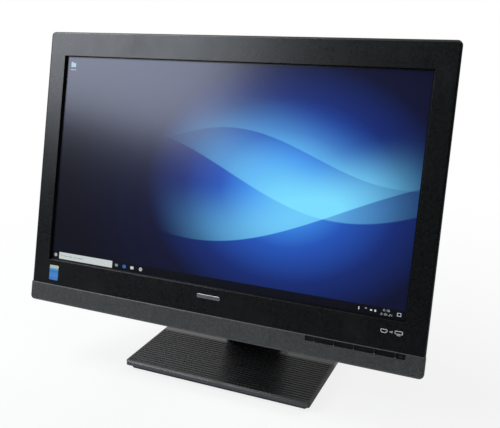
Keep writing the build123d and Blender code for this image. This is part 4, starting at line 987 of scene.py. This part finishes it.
def dress_inside():
    dress(guide_finish(), "light_guide")
    dress(board_finish(),
          "motherboard", "key_board", "side_board", "memory_modules", "wireless_card", "led_bar")
    dress(plated("zinc_plated_sheet", rgb(0.56, 0.57, 0.58), 0.34),
          "backlight_tray", "chassis_plate", "drive_caddy", "drive_bracket", "lock_plate",
          "stand_bracket", "coin_cell")
    dress(plated("hinge_dark_plated_steel", rgb(0.16, 0.162, 0.17), 0.38),
          "hinge_plate", "axle", "axle_nuts", "neck_spine")
    dress(moulded("base_plate_powder_coat", rgb(0.018, 0.018, 0.019), 0.6, grain_size=0.9 * mm,
                  relief=0.06 * mm, dust=0.2),
          "base_plate")
    dress(plated("fin_aluminium", rgb(0.72, 0.73, 0.74), 0.3),
          "fin_stack", "cpu_cooler", "swivel_disc")
    dress(plated("heat_pipe_copper", rgb(0.76, 0.38, 0.2), 0.28, pitch=0.3 * mm),
          "heat_pipe_inner", "heat_pipe_outer")
    dress(plated("drive_case_satin", rgb(0.55, 0.56, 0.57), 0.4),
          "hard_drive", "optical_drive")
    dress(plated("socket_nickel_shell", rgb(0.66, 0.65, 0.62), 0.24, pitch=0.3 * mm,
                 relief=0.006 * mm),
          "video_socket", "lan_socket")
    dress(usb_socket_finish("rear_usb_nickel_and_black", x_axis, rear_usb_across),
          "rear_usb_sockets")
    dress(usb_socket_finish("side_usb_nickel_and_black", z_axis, side_usb_up),
          "side_usb_sockets")
    dress(moulded("inner_part_black", rgb(0.012, 0.012, 0.013), 0.55, grain_size=0.4 * mm,
                  relief=0.02 * mm, dust=0.1),
          "blower_housing", "blower_impeller", "speaker_left", "speaker_right", "power_inlet",
          "audio_jack")
    dress(screw_finish(), "cover_screws", "hinge_screws", "neck_screws", "base_screws")
    dress(moulded("foot_rubber_black", rgb(0.014, 0.0138, 0.013), 0.82, grain_size=0.6 * mm,
                  relief=0.04 * mm, dust=0.35),
          "rubber_feet")
    dress(moulded("washer_white_acetal", rgb(0.68, 0.67, 0.63), 0.42, grain_size=0.4 * mm,
                  relief=0.01 * mm, dust=0.1),
          "friction_washers", "slip_ring")


# ---- stage
def floor_finish():
    """Pale floor that keeps the shadow, white further out, and dark in front in reflections."""
    finish = Finish("stage_floor_white", 0.9)
    tree = finish.tree
    finish.set("Base Color", rgb(0.86, 0.86, 0.87))
    finish.set("Specular IOR Level", 0.0)
    path = finish.put("LightPath").outputs
    away = finish.put("VectorMath", {0: finish.place}, operation="LENGTH").outputs["Value"]
    share = finish.smooth(away, low=0.2, high=1.1, start=0.80, end=1.0)
    lit = finish.put("Emission", {"Color": grey(1.0), "Strength": 1.0})
    lit_mix = finish.put("MixShader", {"Fac": finish.multiply(path["Is Camera Ray"], share)})
    forward = finish.smooth(finish.parts(finish.place)["Y"], low=-0.3, high=-0.75)
    dark = finish.put("Emission", {"Color": grey(0.03), "Strength": 1.0})
    dark_mix = finish.put("MixShader", {"Fac": finish.multiply(path["Is Glossy Ray"], forward)})
    tree.links.new(finish.shader.outputs["BSDF"], lit_mix.inputs[1])
    tree.links.new(lit.outputs["Emission"], lit_mix.inputs[2])
    tree.links.new(lit_mix.outputs["Shader"], dark_mix.inputs[1])
    tree.links.new(dark.outputs["Emission"], dark_mix.inputs[2])
    tree.links.new(dark_mix.outputs["Shader"], tree.nodes["Material Output"].inputs["Surface"])
    return finish.material


def stage_floor():
    mesh = bpy.data.meshes.new("stage_floor")
    shape = bmesh.new()
    bmesh.ops.create_circle(shape, cap_ends=True, segments=96, radius=9.0)
    shape.to_mesh(mesh)
    shape.free()
    floor = bpy.data.objects.new("stage_floor", mesh)
    floor.location.z = -0.1 * mm
    bpy.context.scene.collection.objects.link(floor)
    floor.data.materials.append(floor_finish())


def softbox(name, place, target, size, power, colour):
    data = bpy.data.lights.new(name, "AREA")
    data.color = colour
    data.shape = "RECTANGLE"
    data.size, data.size_y = size
    data.energy = power
    lamp = bpy.data.objects.new(name, data)
    lamp.location = place
    lamp.rotation_euler = (Vector(target) - Vector(place)).to_track_quat("-Z", "Y").to_euler()
    lamp.visible_camera = False
    bpy.context.scene.collection.objects.link(lamp)


def lights():
    softbox("key_light", place=(-1.30, -1.29, 1.19), target=(-0.2, 0.0, 0.42), size=(1.22, 0.8),
            power=17.6, colour=(0.86, 0.91, 1.0))
    softbox("top_light", place=(-1.20, -0.58, 1.86), target=(-0.08, -0.1, 0.1), size=(1.0, 0.9),
            power=22.0, colour=(0.95, 1.0, 0.98))
    softbox("back_light", place=(0.95, 1.45, 1.35), target=(0.0, 0.05, 0.30), size=(1.3, 0.9),
            power=13.0, colour=(1.0, 1.0, 1.0))


def studio_world():
    """White to the camera, soft grey light, and a pale backdrop and ceiling in reflections."""
    world = bpy.data.worlds.new("studio")
    world.use_nodes = True
    bpy.context.scene.world = world
    wiring = Wiring(world.node_tree)
    background = world.node_tree.nodes["Background"]
    path = wiring.put("LightPath").outputs
    direction = wiring.parts(wiring.put("TexCoord").outputs["Generated"])
    side = wiring.smooth(direction["X"], low=-0.10, high=-0.62, start=0.32, end=0.80)
    behind = wiring.smooth(direction["Y"], low=-0.15, high=0.45, start=0.03, end=1.0)
    ceiling = wiring.smooth(direction["Z"], low=0.60, high=0.85, start=0.0, end=0.75)
    backdrop = wiring.maths("MAXIMUM", wiring.multiply(behind, side), ceiling)
    soft_light = 0.34
    level = wiring.mix_value(path["Is Glossy Ray"], soft_light, backdrop)
    seen = wiring.maths("MAXIMUM", path["Is Camera Ray"], path["Is Transmission Ray"])
    wiring.feed(background.inputs["Strength"], wiring.mix_value(seen, level, 1.0))
    wiring.feed(background.inputs["Color"], grey(1.0))


def camera():
    place = Vector((384.8, -822.0, 509.8)) * mm
    heading, downward, roll = math.radians(23.708), math.radians(17.322), math.radians(-0.09)
    data = bpy.data.cameras.new("camera")
    data.sensor_width = 36.0
    data.lens = 49.03
    data.shift_x, data.shift_y = -0.0117, -0.0008
    eye = bpy.data.objects.new("camera", data)
    level = Matrix.Rotation(heading, 4, "Z") @ Matrix.Rotation(math.pi / 2 - downward, 4, "X")
    eye.matrix_world = Matrix.Translation(place) @ level @ Matrix.Rotation(roll, 4, "Z")
    bpy.context.scene.collection.objects.link(eye)
    bpy.context.scene.camera = eye


camera()
studio_world()
stage_floor()
lights()
dress_outside()
dress_inside()
display()
badge_and_label()
port_mark()
power_mark()
post_dots()
all_screws()
contacts()

bpy.context.scene.view_settings.view_transform = "Standard"
